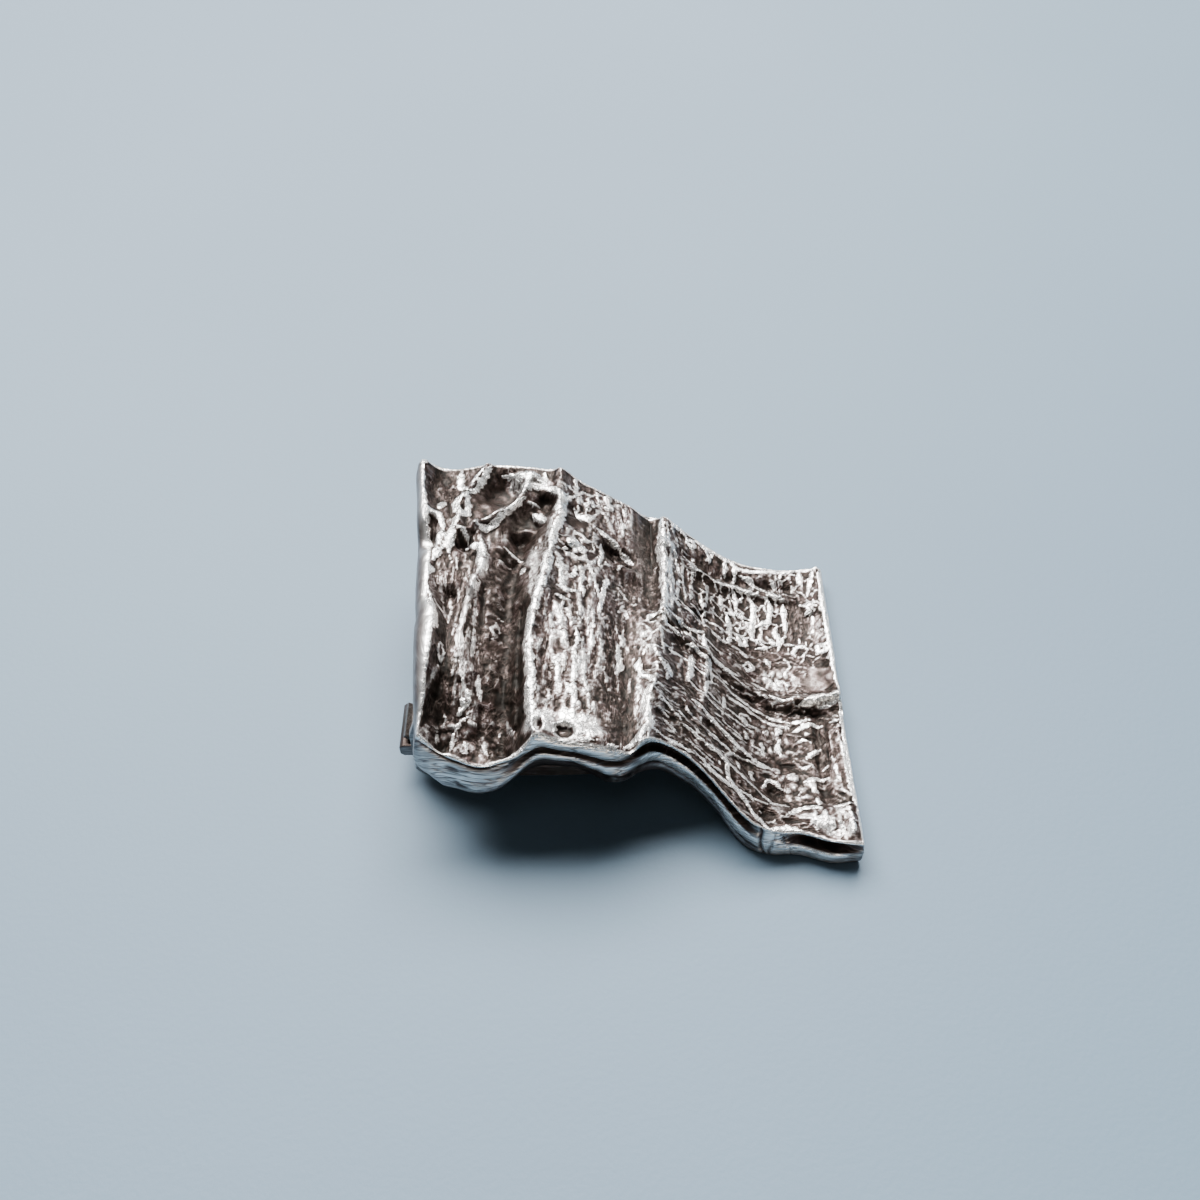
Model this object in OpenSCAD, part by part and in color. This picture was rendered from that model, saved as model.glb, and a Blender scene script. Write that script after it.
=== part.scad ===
// Clip-on earring: a wavy cast plate with bark-like relief on its face and a spring clip on its back.
// Lengths are in millimetres. The earring lies face up on a table, as it rests when it is put down.
// +X runs along the plate from the hinge end to the low end, +Y across it and +Z up.
// Places on the plate are measured from the near corner of its low end, and heights from the table.

/* [Plate] */
// Length of the plate from the hinge end to the low end
plate_length = 28.6; // [27:0.2:30]
// Width of the plate across its middle
plate_width = 24.2; // [23:0.2:26]
// Thickness of the plate away from its edges
plate_thickness = 1.9; // [1.6:0.1:2.4]
// Strength of the cast relief, 1 as on the real one
relief_strength = 1; // [0.4:0.1:1.2]

/* [Hinge cradle] */
// Distance of the pivot from the low end of the plate
pivot_from_end = 27; // [26.6:0.1:27.2]
// Distance of the clip's middle line from the near corner
clip_line = 9.8; // [9:0.1:11]
// Height of the pivot above the table, which is also how far the ears reach below it
pivot_height = 2.6; // [2.5:0.05:2.8]
// Width of the cradle over both ears
cradle_width = 5; // [4.6:0.1:5.6]
// Thickness of one ear
ear_thickness = 0.6; // [0.5:0.05:0.7]
// Diameter of the round hole in each ear
ear_hole_d = 2.3; // [2.1:0.05:2.4]

/* [Clip lever] */
// Thickness of the lever between the ears
lever_thickness = 1.2; // [1:0.05:1.3]
// Width of the arm beyond the ears
arm_width = 5.6; // [5:0.1:6]
// Reach of the pad's rounded end from the pivot
lever_reach = 15; // [14:0.2:15.4]
// Reach of the heel behind the pivot
heel_reach = 3.45; // [3.2:0.05:3.5]
// Clearance all round between a pivot lug and its hole
pivot_clearance = 0.07; // [0.05:0.01:0.09]

/* [Leaf spring] */
// Thickness of the leaf
leaf_thickness = 0.35; // [0.3:0.05:0.4]
// Width of the leaf
leaf_width = 2.8; // [2.4:0.1:3.2]

/* [Hidden] */
$fn = 48;

silver_bright = "#b9b5b0";
silver_grey = "#8f9190";
steel_grey = "#77787a";

// From the near corner of the low end to the part's own origin, under the middle of its box
origin_shift = [14.85, -15.05, 0];

// Cells of the face along and across the plate, whole multiples of the back's coarser cells
cells_long = 72;
cells_wide = 54;
back_step = 3;

// Stations along the plate, evenly spaced from the hinge end to the low end.
// Each row has the near edge's x and y, the far edge's x and y, and the height of the face
// at the near edge, a quarter of the way across, the middle, three quarters and the far edge.
STATIONS = [
    [-28.2, 4.8, -29.8, 28.5, 9.1, 11.3, 10.5, 10.8, 10.2],
    [-26.3, 4.4, -27.8, 28.5, 7.8, 9.8, 9.9, 10.1, 9.5],
    [-24.4, 3.9, -25.8, 29.2, 7.2, 8.6, 9.3, 9.4, 9.1],
    [-22.5, 4.2, -23.7, 29.4, 7.8, 8.9, 9.2, 9, 9],
    [-20.6, 4.9, -21.7, 29.3, 8.7, 9.1, 9.4, 8.8, 8.9],
    [-18.7, 4.7, -19.7, 29.2, 8.7, 8.9, 9, 8.6, 8.5],
    [-16.8, 4.6, -17.7, 28.8, 8.4, 8.2, 8.2, 7.9, 7.6],
    [-14.9, 4.7, -15.7, 28.3, 7.9, 7.4, 7.1, 6.8, 6.7],
    [-12.9, 6, -13.6, 27.8, 7, 6.7, 6.3, 5.9, 5.8],
    [-11, 5.6, -11.6, 27.5, 5.9, 5.7, 5.3, 5, 4.9],
    [-9.1, 4.3, -9.6, 26.9, 4.6, 4.5, 4.1, 3.8, 3.8],
    [-7.2, 2.4, -7.6, 26.2, 3.5, 3.2, 2.7, 2.5, 2.7],
    [-5.3, 1.7, -5.6, 25.6, 2.7, 1.9, 1.6, 1.7, 2],
    [-3.4, 1.8, -3.5, 25.3, 2.4, 1.4, 1.2, 1.4, 1.7],
    [-1.5, 1.2, -1.5, 25.4, 2.4, 1.5, 1.3, 1.2, 1.4],
    [0.6, 1, 0.6, 25.5, 2.4, 1.7, 1.5, 1.4, 1.4]
];

// How far the hinge end's rim bows in from the straight line between its corners, as pairs of
// the share across the plate and the distance
HINGE_BOW = [
    [0, 0], [0.1, 0.4], [0.22, 0.8], [0.35, 1.1], [0.43, 0.5], [0.55, 0.6], [0.66, 0.7], [0.75, 0.2], [1, 0]
];
// Share of the plate's length over which the bow fades out
bow_share = 0.15;

// Folds that run across the plate, from its near edge to its far edge. Each row has the height,
// negative for a trough, the half width towards the hinge end and towards the low end,
// where it starts and stops in y, and its line as pairs of y and x.
CROSS_FOLDS = [
    // rolled rim of the hinge end
    [0.35, 0.5, 0.4, 4, 28,
        [[5, -28.2], [9, -27.9], [12, -27.7], [14.5, -27.9], [17, -28.5], [20, -29.1], [23, -29],
         [26, -29.7], [29, -29.6]]],
    // dark channel beside the rim, and the fibres that part it from the next one
    [-0.7, 0.5, 0.6, 5, 16, [[5, -26.9], [8, -27.1], [12, -27], [16, -27]]],
    [0.4, 0.5, 0.45, 6.5, 19, [[7, -24.9], [9, -25.2], [12, -25.5], [15, -25.7], [18, -25.2]]],
    // deep channel along the hinge side of the first ridge
    [-1.1, 1, 0.8, 5, 22.5, [[5, -22.9], [9, -23], [13, -22.9], [17, -22.9], [20, -22.6], [23, -22.2]]],
    // first ridge
    [0.6, 0.45, 0.9, 4, 29,
        [[5, -20.8], [8, -21.2], [11, -21.4], [13, -21.4], [15, -21.2], [17, -20.8], [20, -20.4],
         [25, -19.8], [29, -19.6]]],
    // bar between the two craters, and the one on the hinge side of the first crater
    [0.55, 0.45, 0.45, 21.5, 27, [[21.5, -26.4], [22.6, -25.4], [24, -24.1], [25.5, -22.9], [27, -22.2]]],
    [0.4, 0.35, 0.35, 21.5, 29, [[22, -26.8], [24, -26.7], [25.5, -26.6], [27, -26.1], [29, -25.1]]],
    // knotted strand below the craters
    [0.4, 0.35, 0.35, 16.5, 22.5, [[16.5, -25.4], [18.5, -24.9], [20.5, -25], [22.5, -25.6]]],
    // fibrous trough on the low side of the hump
    [-0.45, 1.1, 0.8, 4, 20, [[5, -14.9], [11, -15], [15, -14.9], [20, -14.6]]],
    // smooth dark facet, and the second ridge beside it
    [-0.6, 0.8, 0.6, 18.5, 29, [[19, -13.2], [23, -12.9], [28, -12.9]]],
    [0.55, 0.35, 0.9, 5, 27.2,
        [[6, -14], [8, -13.5], [10, -13.1], [12, -12.7], [14.5, -12.8], [16.2, -12.4], [18, -12.1],
         [20, -11.9], [28, -11.7]]],
    // thin column beside the second ridge
    [0.2, 0.3, 0.3, 9, 22, [[9, -9.8], [12, -9.3], [16, -8.9], [22, -8.8]]],
    // rim of the low end, and the groove inside it
    [0.3, 0.4, 0.4, 2, 25.5, [[2, 0.1], [9, 0], [14, 0.4], [20, 0.3], [25, 0.2]]],
    [-0.35, 0.4, 0.35, 4.5, 11.5, [[5, -1.3], [8, -1.2], [11.5, -1.1]]]
];

// Folds that run along the plate. The columns are as above, with the half width towards the near
// edge and towards the far edge, the start and stop in x, and the line as pairs of x and y.
LONG_FOLDS = [
    // crease of the valley, its upper lip, and the step where it meets the rim of the low end
    [-0.2, 0.35, 0.3, -11, 0.6,
        [[-10.5, 15.1], [-9, 14.3], [-7.7, 13.6], [-5, 12.4], [-3.2, 12], [0, 11.9]]],
    [0.3, 0.45, 0.5, -12, 0.8,
        [[-12, 17.4], [-10.5, 16], [-9, 15.3], [-7.5, 14.6], [-5, 13.4], [-2.8, 12.9], [0.6, 13.1]]],
    [0.3, 0.3, 0.6, -2.8, 1, [[-2.8, 12.8], [0.6, 13.2]]],
    // thin crest near the far edge, with the hollow behind it
    [0.35, 0.4, 0.4, -12, -2.4, [[-11.8, 24.4], [-9.6, 23.4], [-8, 22.8], [-4.6, 22.7], [-2.4, 22.4]]],
    [-0.35, 0.4, 0.6, -10.5, -2, [[-10, 24.6], [-8, 23.9], [-4.6, 23.7], [-2, 23.5]]],
    // flat bright lip along the near edge of the hump
    [0.3, 0.7, 0.6, -21.4, -15.6, [[-21.4, 5.6], [-18.5, 5.5], [-15.6, 5.3]]],
    // line that sweeps down to the near corner
    [0.25, 0.6, 0.6, -13.4, -4.6, [[-13.4, 9.8], [-11, 8.2], [-9, 6.8], [-7, 5], [-5, 3.2]]],
    [-0.3, 0.8, 0.7, -9.6, -4, [[-9.6, 9.2], [-7.5, 7.4], [-5.8, 5.6], [-4, 4.6]]]
];

// Craters, pits and lumps: x, y, half width along, half width across, turn in degrees, and
// height, negative for a hollow
DENTS = [
    [-23.9, 26.7, 1.35, 1.9, -15, -1.2],
    [-21.9, 23.9, 1.15, 2, -25, -0.9],
    [-20.6, 26, 0.6, 0.8, 40, -0.7],
    [-21.1, 24.5, 0.5, 0.8, 35, 0.9],
    [-22.2, 28.1, 1, 0.5, 0, 0.35],
    [-28.4, 26.2, 0.8, 2, 0, -0.5],
    [-29.6, 28.2, 0.6, 0.6, 0, 0.1],
    [-28.6, 21.2, 0.4, 1.5, 5, -0.7],
    [-26.4, 20.6, 0.6, 0.6, 0, -0.6],
    [-23.3, 20.7, 0.8, 0.4, -20, 0.4],
    [-15.3, 22.4, 1.2, 0.8, -30, -0.8],
    [-18.7, 25.3, 0.9, 0.5, -20, -0.45],
    [-18.8, 22, 0.6, 0.5, 0, 0.3],
    [-18.9, 5.55, 0.5, 0.4, 0, -0.4],
    [-20.6, 5.7, 0.25, 0.45, 0, -0.5],
    [-10.6, 16.9, 0.6, 0.5, -20, -0.4],
    [-9, 19, 0.6, 0.7, 0, -0.4],
    [-1.8, 3, 1.6, 1, 10, 0.35],
    [-0.6, 21.6, 0.6, 0.6, 0, 0.25],
    // stones of metal left in the craters
    [-24.4, 25.5, 0.75, 1, -20, 0.4],
    [-22, 22.9, 0.7, 0.9, -10, 0.35],
    [-28.3, 25.9, 0.4, 0.9, 5, 0.2]
];

// How the side of the plate falls from its lip to its back, a row for each stretch of the near
// edge and one for each other side. Each pair is how far it stands out from the lip and the
// share of the whole drop.
NEAR_TROUGH_SIDE = [[0, 0], [0.25, 0.16], [0.35, 0.3], [0.7, 0.55], [0.7, 0.8], [0.3, 1]];
NEAR_HUMP_SIDE = [[0, 0], [0.15, 0.22], [-0.1, 0.36], [0.3, 0.5], [0.35, 0.8], [0.05, 1]];
NEAR_SLOPE_SIDE = [[0, 0], [-0.35, 0.18], [-0.35, 0.36], [0.25, 0.46], [0.4, 0.8], [0.1, 1]];
NEAR_CORNER_SIDE = [[0, 0], [-0.3, 0.2], [-0.3, 0.4], [0.5, 0.55], [0.55, 0.85], [0.3, 1]];
HINGE_SIDE = [[0, 0], [0.6, 0.12], [0.93, 0.35], [1.03, 0.6], [0.82, 0.85], [0.2, 1]];
PLAIN_SIDE = [[0, 0], [0.12, 0.12], [0.16, 0.35], [0.16, 0.6], [0.1, 0.85], [-0.1, 1]];

// Height of the back's edge under the near edge, as pairs of x and height
NEAR_BACK_EDGE = [
    [-28.2, 5.8], [-26.8, 4.3], [-24.4, 4.3], [-23.2, 4.8], [-22, 5.3], [-20.2, 5.6], [-18.3, 5.7], [-17.3, 5],
    [-16.3, 4.3], [-15.3, 4.5], [-14.3, 4.5], [-12.8, 3.7], [-11.3, 2.8], [-10, 2.3], [-8.3, 1.4], [-7, 0.3],
    [-6, 0], [0.6, 0]
];
// From this far along the plate its back lies on the table
back_flat_from = -6;

// Smooth step from 0 to 1
function ease(t) = let(s = max(0, min(1, t))) s * s * (3 - 2 * s);

// 1 between two ends, fading to 0 over one millimetre outside them
function between(t, low, high) = ease(t - low + 1) * ease(high - t + 1);

// Curve through four evenly spaced values, at a share s between the middle two
function through(a, b, c, d, s) =
    b + s * ((c - a) / 2 + s * (a - 2.5 * b + 2 * c - d / 2 + s * (1.5 * (b - c) + (d - a) / 2)));

// Curve through a whole list of evenly spaced values, at a share s from 0 to 1
function along(values, s) =
    let(n = len(values) - 1, i = min(n - 1, floor(s * n)))
    through(values[max(0, i - 1)], values[i], values[i + 1], values[min(n, i + 2)], s * n - i);

// Bell with a different half width on each side
function bell(d, low_width, high_width) = exp(-pow(d / (d < 0 ? low_width : high_width), 2));

// Height of one fold at a place given along and across the fold
function fold(f, across, down) =
    let(weight = between(down, f[3], f[4]))
    weight == 0 ? 0 : f[0] * weight * bell(across - lookup(down, f[5]), f[1], f[2]);

// Height of one crater or lump, rounder at the bottom than a bell
function dent(d, x, y) =
    let(px = x - d[0], py = y - d[1],
        qx = (px * cos(d[4]) + py * sin(d[4])) / d[2],
        qy = (py * cos(d[4]) - px * sin(d[4])) / d[3],
        r = qx * qx + qy * qy)
    r > 4 ? 0 : d[5] * exp(-r * r);

function sum(values) = [for (v = values) 1] * values;

// Relief of the face above its smooth wave
function relief(x, y) = relief_strength * (
    sum([for (f = CROSS_FOLDS) fold(f, x, y)])
    + sum([for (f = LONG_FOLDS) fold(f, y, x)])
    + sum([for (d = DENTS) dent(d, x, y)]));

// One station table column, along the plate
function column(c, u) = along([for (row = STATIONS) row[c]], u);

// Place of a share u along and v across the plate, before its sizes are scaled
function plan(u, v) = [
    column(0, u) * (1 - v) + column(2, u) * v + lookup(v, HINGE_BOW) * ease(1 - u / bow_share),
    column(1, u) * (1 - v) + column(3, u) * v
];

// Smooth wave of the face, without relief
function wave(u, v) = along([for (c = [4:8]) column(c, u)], v);

// Share of the width over which the near edge's own thickness fades out
near_edge_fade = 0.12;
// Run over which the back comes down to the table
landing_run = 3;

// Height of the back: the smooth wave less the thickness, lying on the table at the low end
function back_height(u, v) =
    let(x = plan(u, v)[0],
        free = wave(u, v) - plate_thickness,
        near_edge = lookup(x, NEAR_BACK_EDGE),
        edge_share = ease(1 - v / near_edge_fade),
        blended = free * (1 - edge_share) + near_edge * edge_share,
        landed = ease((x - back_flat_from + landing_run) / landing_run))
    max(0, blended * (1 - landed));

// Stretches a place on the plate to its driving length and width
size_scale = [plate_length / 28.6, plate_width / 24.2];
function sized(p) = [p[0] * size_scale[0], p[1] * size_scale[1], p[2]];

// Side profile that applies at a place on the outline
function near_side(x) =
    let(to_hump = ease((x + 23) / 1.5), to_slope = ease((x + 15.2) / 1.4),
        to_corner = ease((x + 6.5) / 2), to_end = ease((x + 0.7) / 1.2))
    [for (k = [0:len(PLAIN_SIDE) - 1])
        NEAR_TROUGH_SIDE[k] * (1 - to_hump)
        + NEAR_HUMP_SIDE[k] * to_hump * (1 - to_slope)
        + NEAR_SLOPE_SIDE[k] * to_slope * (1 - to_corner)
        + NEAR_CORNER_SIDE[k] * to_corner * (1 - to_end)
        + PLAIN_SIDE[k] * to_end];

// Outline cells, walked from the near corner of the hinge end towards the low end and round
RIM = concat(
    [for (i = [0:cells_long - 1]) [i, 0]],
    [for (j = [0:cells_wide - 1]) [cells_long, j]],
    [for (i = [0:cells_long - 1]) [cells_long - i, cells_wide]],
    [for (j = [0:cells_wide - 1]) [0, cells_wide - j]]
);
rim_count = len(RIM);

// The hinge side stands out most where its rim bows in, so that its foot runs straight, and a
// little more again towards its far corner
foot_share = 0.4;
foot_per_bow = 0.85;
foot_share_far = 0.2;
foot_far_from = 0.8;
foot_far_run = 0.15;
function hinge_side(v) =
    let(share = foot_share + foot_per_bow * lookup(v, HINGE_BOW)
            + foot_share_far * ease((v - foot_far_from) / foot_far_run))
    [for (pair = HINGE_SIDE) [pair[0] * share, pair[1]]];

function rim_side(i, j, x) =
    j == 0 ? near_side(x) : i == 0 ? hinge_side(j / cells_wide) : PLAIN_SIDE;

// Outward direction of the outline in plan at one of its cells
function outward(k, rim_points) =
    let(a = rim_points[(k + rim_count - 2) % rim_count],
        b = rim_points[(k + 2) % rim_count],
        d = [b[1] - a[1], a[0] - b[0]])
    d / norm(d);

FACE_GRID = [for (j = [0:cells_wide]) for (i = [0:cells_long])
    let(u = i / cells_long, v = j / cells_wide, p = plan(u, v))
    [p[0], p[1], wave(u, v) + relief(p[0], p[1])]];

function face_at(i, j) = j * (cells_long + 1) + i;

RIM_POINTS = [for (c = RIM) FACE_GRID[face_at(c[0], c[1])]];

// One ring of the side wall
function side_ring(level) = [for (k = [0:rim_count - 1])
    let(c = RIM[k], p = RIM_POINTS[k],
        side = rim_side(c[0], c[1], p[0])[level],
        out = outward(k, RIM_POINTS) * side[0],
        floor_z = back_height(c[0] / cells_long, c[1] / cells_wide))
    [p[0] + out[0], p[1] + out[1], p[2] - side[1] * (p[2] - floor_z)]];

// The back's own coarser grid lies inside the outline by one of its cells on each side
back_long = cells_long / back_step;
back_wide = cells_wide / back_step;
back_margin = 0.03;
BACK_GRID = [for (j = [0:back_wide]) for (i = [0:back_long])
    let(u = back_margin + (1 - 2 * back_margin) * i / back_long,
        v = back_margin + (1 - 2 * back_margin) * j / back_wide,
        p = plan(u, v))
    [p[0], p[1], back_height(u, v)]];

SIDE_LEVELS = len(PLAIN_SIDE) - 1;
face_count = len(FACE_GRID);
function ring_at(level, k) =
    level == 0 ? face_at(RIM[k % rim_count][0], RIM[k % rim_count][1])
    : face_count + (level - 1) * rim_count + k % rim_count;
back_first = face_count + SIDE_LEVELS * rim_count;
function back_at(i, j) = back_first + j * (back_long + 1) + i;

BACK_RIM = concat(
    [for (i = [0:back_long - 1]) back_at(i, 0)],
    [for (j = [0:back_wide - 1]) back_at(back_long, j)],
    [for (i = [0:back_long - 1]) back_at(back_long - i, back_wide)],
    [for (j = [0:back_wide - 1]) back_at(0, back_wide - j)]
);
back_rim_count = len(BACK_RIM);

SIDE_POINTS = [for (level = [1:SIDE_LEVELS]) each side_ring(level)];
PLATE_POINTS = [for (p = concat(FACE_GRID, SIDE_POINTS, BACK_GRID)) sized(p)];

FACE_TRIANGLES = [for (j = [0:cells_wide - 1]) for (i = [0:cells_long - 1])
    each [[face_at(i, j), face_at(i + 1, j + 1), face_at(i + 1, j)],
          [face_at(i, j), face_at(i, j + 1), face_at(i + 1, j + 1)]]];

SIDE_TRIANGLES = [for (l = [0:SIDE_LEVELS - 1]) for (k = [0:rim_count - 1])
    each [[ring_at(l, k), ring_at(l, k + 1), ring_at(l + 1, k + 1)],
          [ring_at(l, k), ring_at(l + 1, k + 1), ring_at(l + 1, k)]]];

// Strip between the side wall's last ring and the back's coarser grid
SEAM_TRIANGLES = [for (b = [0:back_rim_count - 1])
    let(here = BACK_RIM[b], next = BACK_RIM[(b + 1) % back_rim_count], k = b * back_step)
    each [[ring_at(SIDE_LEVELS, k), ring_at(SIDE_LEVELS, k + 1), here],
          [ring_at(SIDE_LEVELS, k + 1), ring_at(SIDE_LEVELS, k + 2), here],
          [ring_at(SIDE_LEVELS, k + 2), next, here],
          [ring_at(SIDE_LEVELS, k + 2), ring_at(SIDE_LEVELS, k + 3), next]]];

BACK_TRIANGLES = [for (j = [0:back_wide - 1]) for (i = [0:back_long - 1])
    each [[back_at(i, j), back_at(i + 1, j), back_at(i + 1, j + 1)],
          [back_at(i, j), back_at(i + 1, j + 1), back_at(i, j + 1)]]];

module cast_plate() {
    polyhedron(
        points = PLATE_POINTS,
        faces = concat(FACE_TRIANGLES, SIDE_TRIANGLES, SEAM_TRIANGLES, BACK_TRIANGLES),
        convexity = 10
    );
}

// Moves a side view, drawn with x along the plate and y up from the pivot, onto the clip's line
// and gives it a width that is centred on that line
module side_view(width) {
    translate([-pivot_from_end, clip_line + width / 2, pivot_height])
        rotate([90, 0, 0]) linear_extrude(height = width) children();
}

// Side view of the hinge cradle, measured from the pivot. The ears are round below, lean forward
// above, and run up into the plate, and a base joins them.
ear_back = -2.4;
ear_front = 2.3;
ear_round_r = 3.2;
ear_round_middle = [0.2, 0.6];
lean_from = 2.9;
seat_rear = [-1.2, 6.6];
seat_front = 4.9;
base_bottom = 3.8;

module cradle_side() {
    intersection() {
        translate(ear_round_middle) circle(r = ear_round_r);
        translate([ear_back, -pivot_height])
            square([ear_front - ear_back, pivot_height + ear_round_middle[1]]);
    }
    polygon([[ear_back, ear_round_middle[1]], [ear_front, ear_round_middle[1]], [ear_front, seat_front],
        seat_rear, [ear_back, lean_from]]);
}

module hinge_cradle() {
    for (side = [-1, 1])
        translate([0, side * (cradle_width - ear_thickness) / 2, 0]) side_view(ear_thickness) difference() {
            cradle_side();
            circle(d = ear_hole_d);
        }
    side_view(cradle_width) intersection() {
        cradle_side();
        translate([ear_back, base_bottom]) square([ear_front - ear_back, seat_rear[1]]);
    }
}

module front_plate() {
    color(silver_bright) translate(origin_shift) union() {
        cast_plate();
        hinge_cradle();
    }
}

// Side of the lever, a row for each station: distance from the pivot, underside and top. The arm
// steps down in front of the ears, and thins and rises towards its pad.
heel_half = lever_thickness / 2;
LEVER_SIDE = [
    [-heel_reach, -0.35, 0.35],
    [-heel_reach + 0.25, -heel_half, heel_half],
    [1, -heel_half, heel_half],
    [2.2, -1, 0.25],
    [3.2, -1.5, -0.2],
    [4.5, -1.6, -0.35],
    [6.5, -1.6, -0.35],
    [9, -1.5, -0.35],
    [11.5, -1.25, -0.25],
    [13.5, -1, -0.15],
    [lever_reach - 0.3, -0.85, -0.15],
    [lever_reach, -0.65, -0.3]
];
root_clearance = 0.1;
root_width = cradle_width - 2 * ear_thickness - 2 * root_clearance;
// The arm starts where its corners swing past the ears
arm_from = 3.05;
pad_corner_r = 2.2;
lug_half_length = 0.75;
lug_top = 0.35;
lug_recess = 0.12;
// Deeper than the lever is thick
plan_depth = 6;

// Plan of the lever from the pivot, with rounded corners at the pad
module lever_plan() {
    translate([-heel_reach - 1, -root_width / 2]) square([heel_reach + 1 + arm_from + 1, root_width]);
    translate([arm_from, -arm_width / 2]) square([lever_reach - pad_corner_r - arm_from, arm_width]);
    for (side = [-1, 1])
        translate([lever_reach - pad_corner_r, side * (arm_width / 2 - pad_corner_r)])
            circle(r = pad_corner_r);
    translate([arm_from, pad_corner_r - arm_width / 2])
        square([lever_reach - arm_from, arm_width - 2 * pad_corner_r]);
}

module clip_lever() {
    color(silver_grey) translate(origin_shift) {
        intersection() {
            side_view(arm_width + 1) polygon(concat(
                [for (row = LEVER_SIDE) [row[0], row[1]]],
                [for (k = [len(LEVER_SIDE) - 1:-1:0]) [LEVER_SIDE[k][0], LEVER_SIDE[k][2]]]));
            translate([-pivot_from_end, clip_line, pivot_height - plan_depth / 2])
                linear_extrude(height = plan_depth) lever_plan();
        }
        side_view(cradle_width - 2 * lug_recess) intersection() {
            circle(d = ear_hole_d - 2 * pivot_clearance);
            translate([-lug_half_length, -ear_hole_d]) square([2 * lug_half_length, ear_hole_d + lug_top]);
        }
    }
}

// Middle line of the leaf from the pivot, at even shares of its run: flat under the base, then
// down to the heel, with its tip turned up
LEAF_LINE = [
    [2, 3.57], [1.1, 3.57], [0.2, 3.5], [-0.6, 3.1], [-1.15, 2.4], [-1.5, 1.6], [-1.95, 1], [-2.6, 0.92],
    [-3.05, 1.15]
];
leaf_steps = 32;

function leaf_point(s) = [for (c = [0, 1]) along([for (p = LEAF_LINE) p[c]], s)];

// Point beside the leaf's middle line, half the thickness away on one side
function leaf_edge(s, side) =
    let(d = leaf_point(min(1, s + 0.01)) - leaf_point(max(0, s - 0.01)))
    leaf_point(s) + side * leaf_thickness / 2 * [-d[1], d[0]] / norm(d);

module leaf_spring() {
    color(steel_grey) translate(origin_shift) side_view(leaf_width) polygon(concat(
        [for (k = [0:leaf_steps]) leaf_edge(k / leaf_steps, 1)],
        [for (k = [leaf_steps:-1:0]) leaf_edge(k / leaf_steps, -1)]));
}

front_plate();
clip_lever();
leaf_spring();
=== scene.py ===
# %% [markdown]
# A clip-on earring with a face like bark
# The object is a small cast silver plate, bent in waves, with a spring clip on its back. The packed
# solids give its size and its moving parts. This lesson lays fine cast relief over the plate, dresses
# it in blackened and rubbed silver, and sets it on a pale floor.

import math

import bmesh
import bpy
import numpy as np
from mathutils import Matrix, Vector


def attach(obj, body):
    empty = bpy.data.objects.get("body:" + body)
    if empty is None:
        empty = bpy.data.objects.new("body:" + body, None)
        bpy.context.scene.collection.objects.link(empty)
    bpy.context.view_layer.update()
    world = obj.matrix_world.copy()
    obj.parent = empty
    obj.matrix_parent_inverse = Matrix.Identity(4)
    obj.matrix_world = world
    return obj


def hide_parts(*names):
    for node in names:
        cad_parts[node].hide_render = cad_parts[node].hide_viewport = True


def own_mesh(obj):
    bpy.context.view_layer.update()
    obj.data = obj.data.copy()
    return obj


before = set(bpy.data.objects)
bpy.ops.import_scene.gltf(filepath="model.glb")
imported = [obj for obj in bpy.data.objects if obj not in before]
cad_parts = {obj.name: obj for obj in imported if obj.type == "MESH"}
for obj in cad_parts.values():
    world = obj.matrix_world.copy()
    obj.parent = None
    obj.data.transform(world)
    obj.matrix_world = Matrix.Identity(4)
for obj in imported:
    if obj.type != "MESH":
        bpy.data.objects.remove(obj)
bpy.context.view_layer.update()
MM = 0.001

def add_object(name, data):
    """A new object in the scene, at the origin."""
    made = bpy.data.objects.new(name, data)
    bpy.context.scene.collection.objects.link(made)
    return made

# %% [markdown]
# Camera
# The picture looks down on the earring by about fifty degrees, with its long side across the view.
# A moderate lens at a hand's breadth keeps the slight narrowing of the far side.

# %% Camera
camera_data = bpy.data.cameras.new("view")
camera_data.lens = 37.5
camera_data.sensor_width = 36
camera_data.clip_start = 0.002
camera = add_object("view", camera_data)
camera.location = (-1.80 * MM, -53.80 * MM, 75.65 * MM)
camera.rotation_euler = (math.radians(39.5), 0, 0)
bpy.context.scene.camera = camera
print("camera height, mm:", round(camera.location.z / MM, 1))

# %% [markdown]
# Light
# Bare silver shows what stands round it, so the light is made of large soft panels. The main one
# stands behind and above, where the level parts of the plate mirror it to the camera, and the front
# stays dimmer, so that the side walls read as grey.

# %% Light
TARGET = Vector((0, 0, 5 * MM))
# The panels are laid out for a small table, then moved off and enlarged, so that the floor is lit evenly
PANEL_SCALE = 4

def soft_panel(name, place_mm, size_mm, power, colour=(1, 1, 1)):
    """An area light that faces the earring."""
    data = bpy.data.lights.new(name, "AREA")
    data.shape = "RECTANGLE"
    data.size, data.size_y = size_mm[0] * PANEL_SCALE * MM, size_mm[1] * PANEL_SCALE * MM
    data.energy = power * PANEL_SCALE ** 2
    data.color = colour
    panel = add_object(name, data)
    panel.location = Vector(place_mm) * PANEL_SCALE * MM
    panel.rotation_euler = (TARGET - panel.location).to_track_quat("-Z", "Y").to_euler()

soft_panel("window", (-40, 170, 230), (300, 170), 5.2, (1, 0.985, 0.96))
soft_panel("left_fill", (-240, 60, 120), (120, 160), 0.035, (0.93, 0.96, 1))
soft_panel("right_fill", (240, 170, 110), (200, 160), 0.16)
soft_panel("overhead", (0, -70, 330), (220, 110), 0.04)
soft_panel("front_fill", (60, -260, 50), (240, 60), 0.15, (1, 0.9, 0.78))

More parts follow.
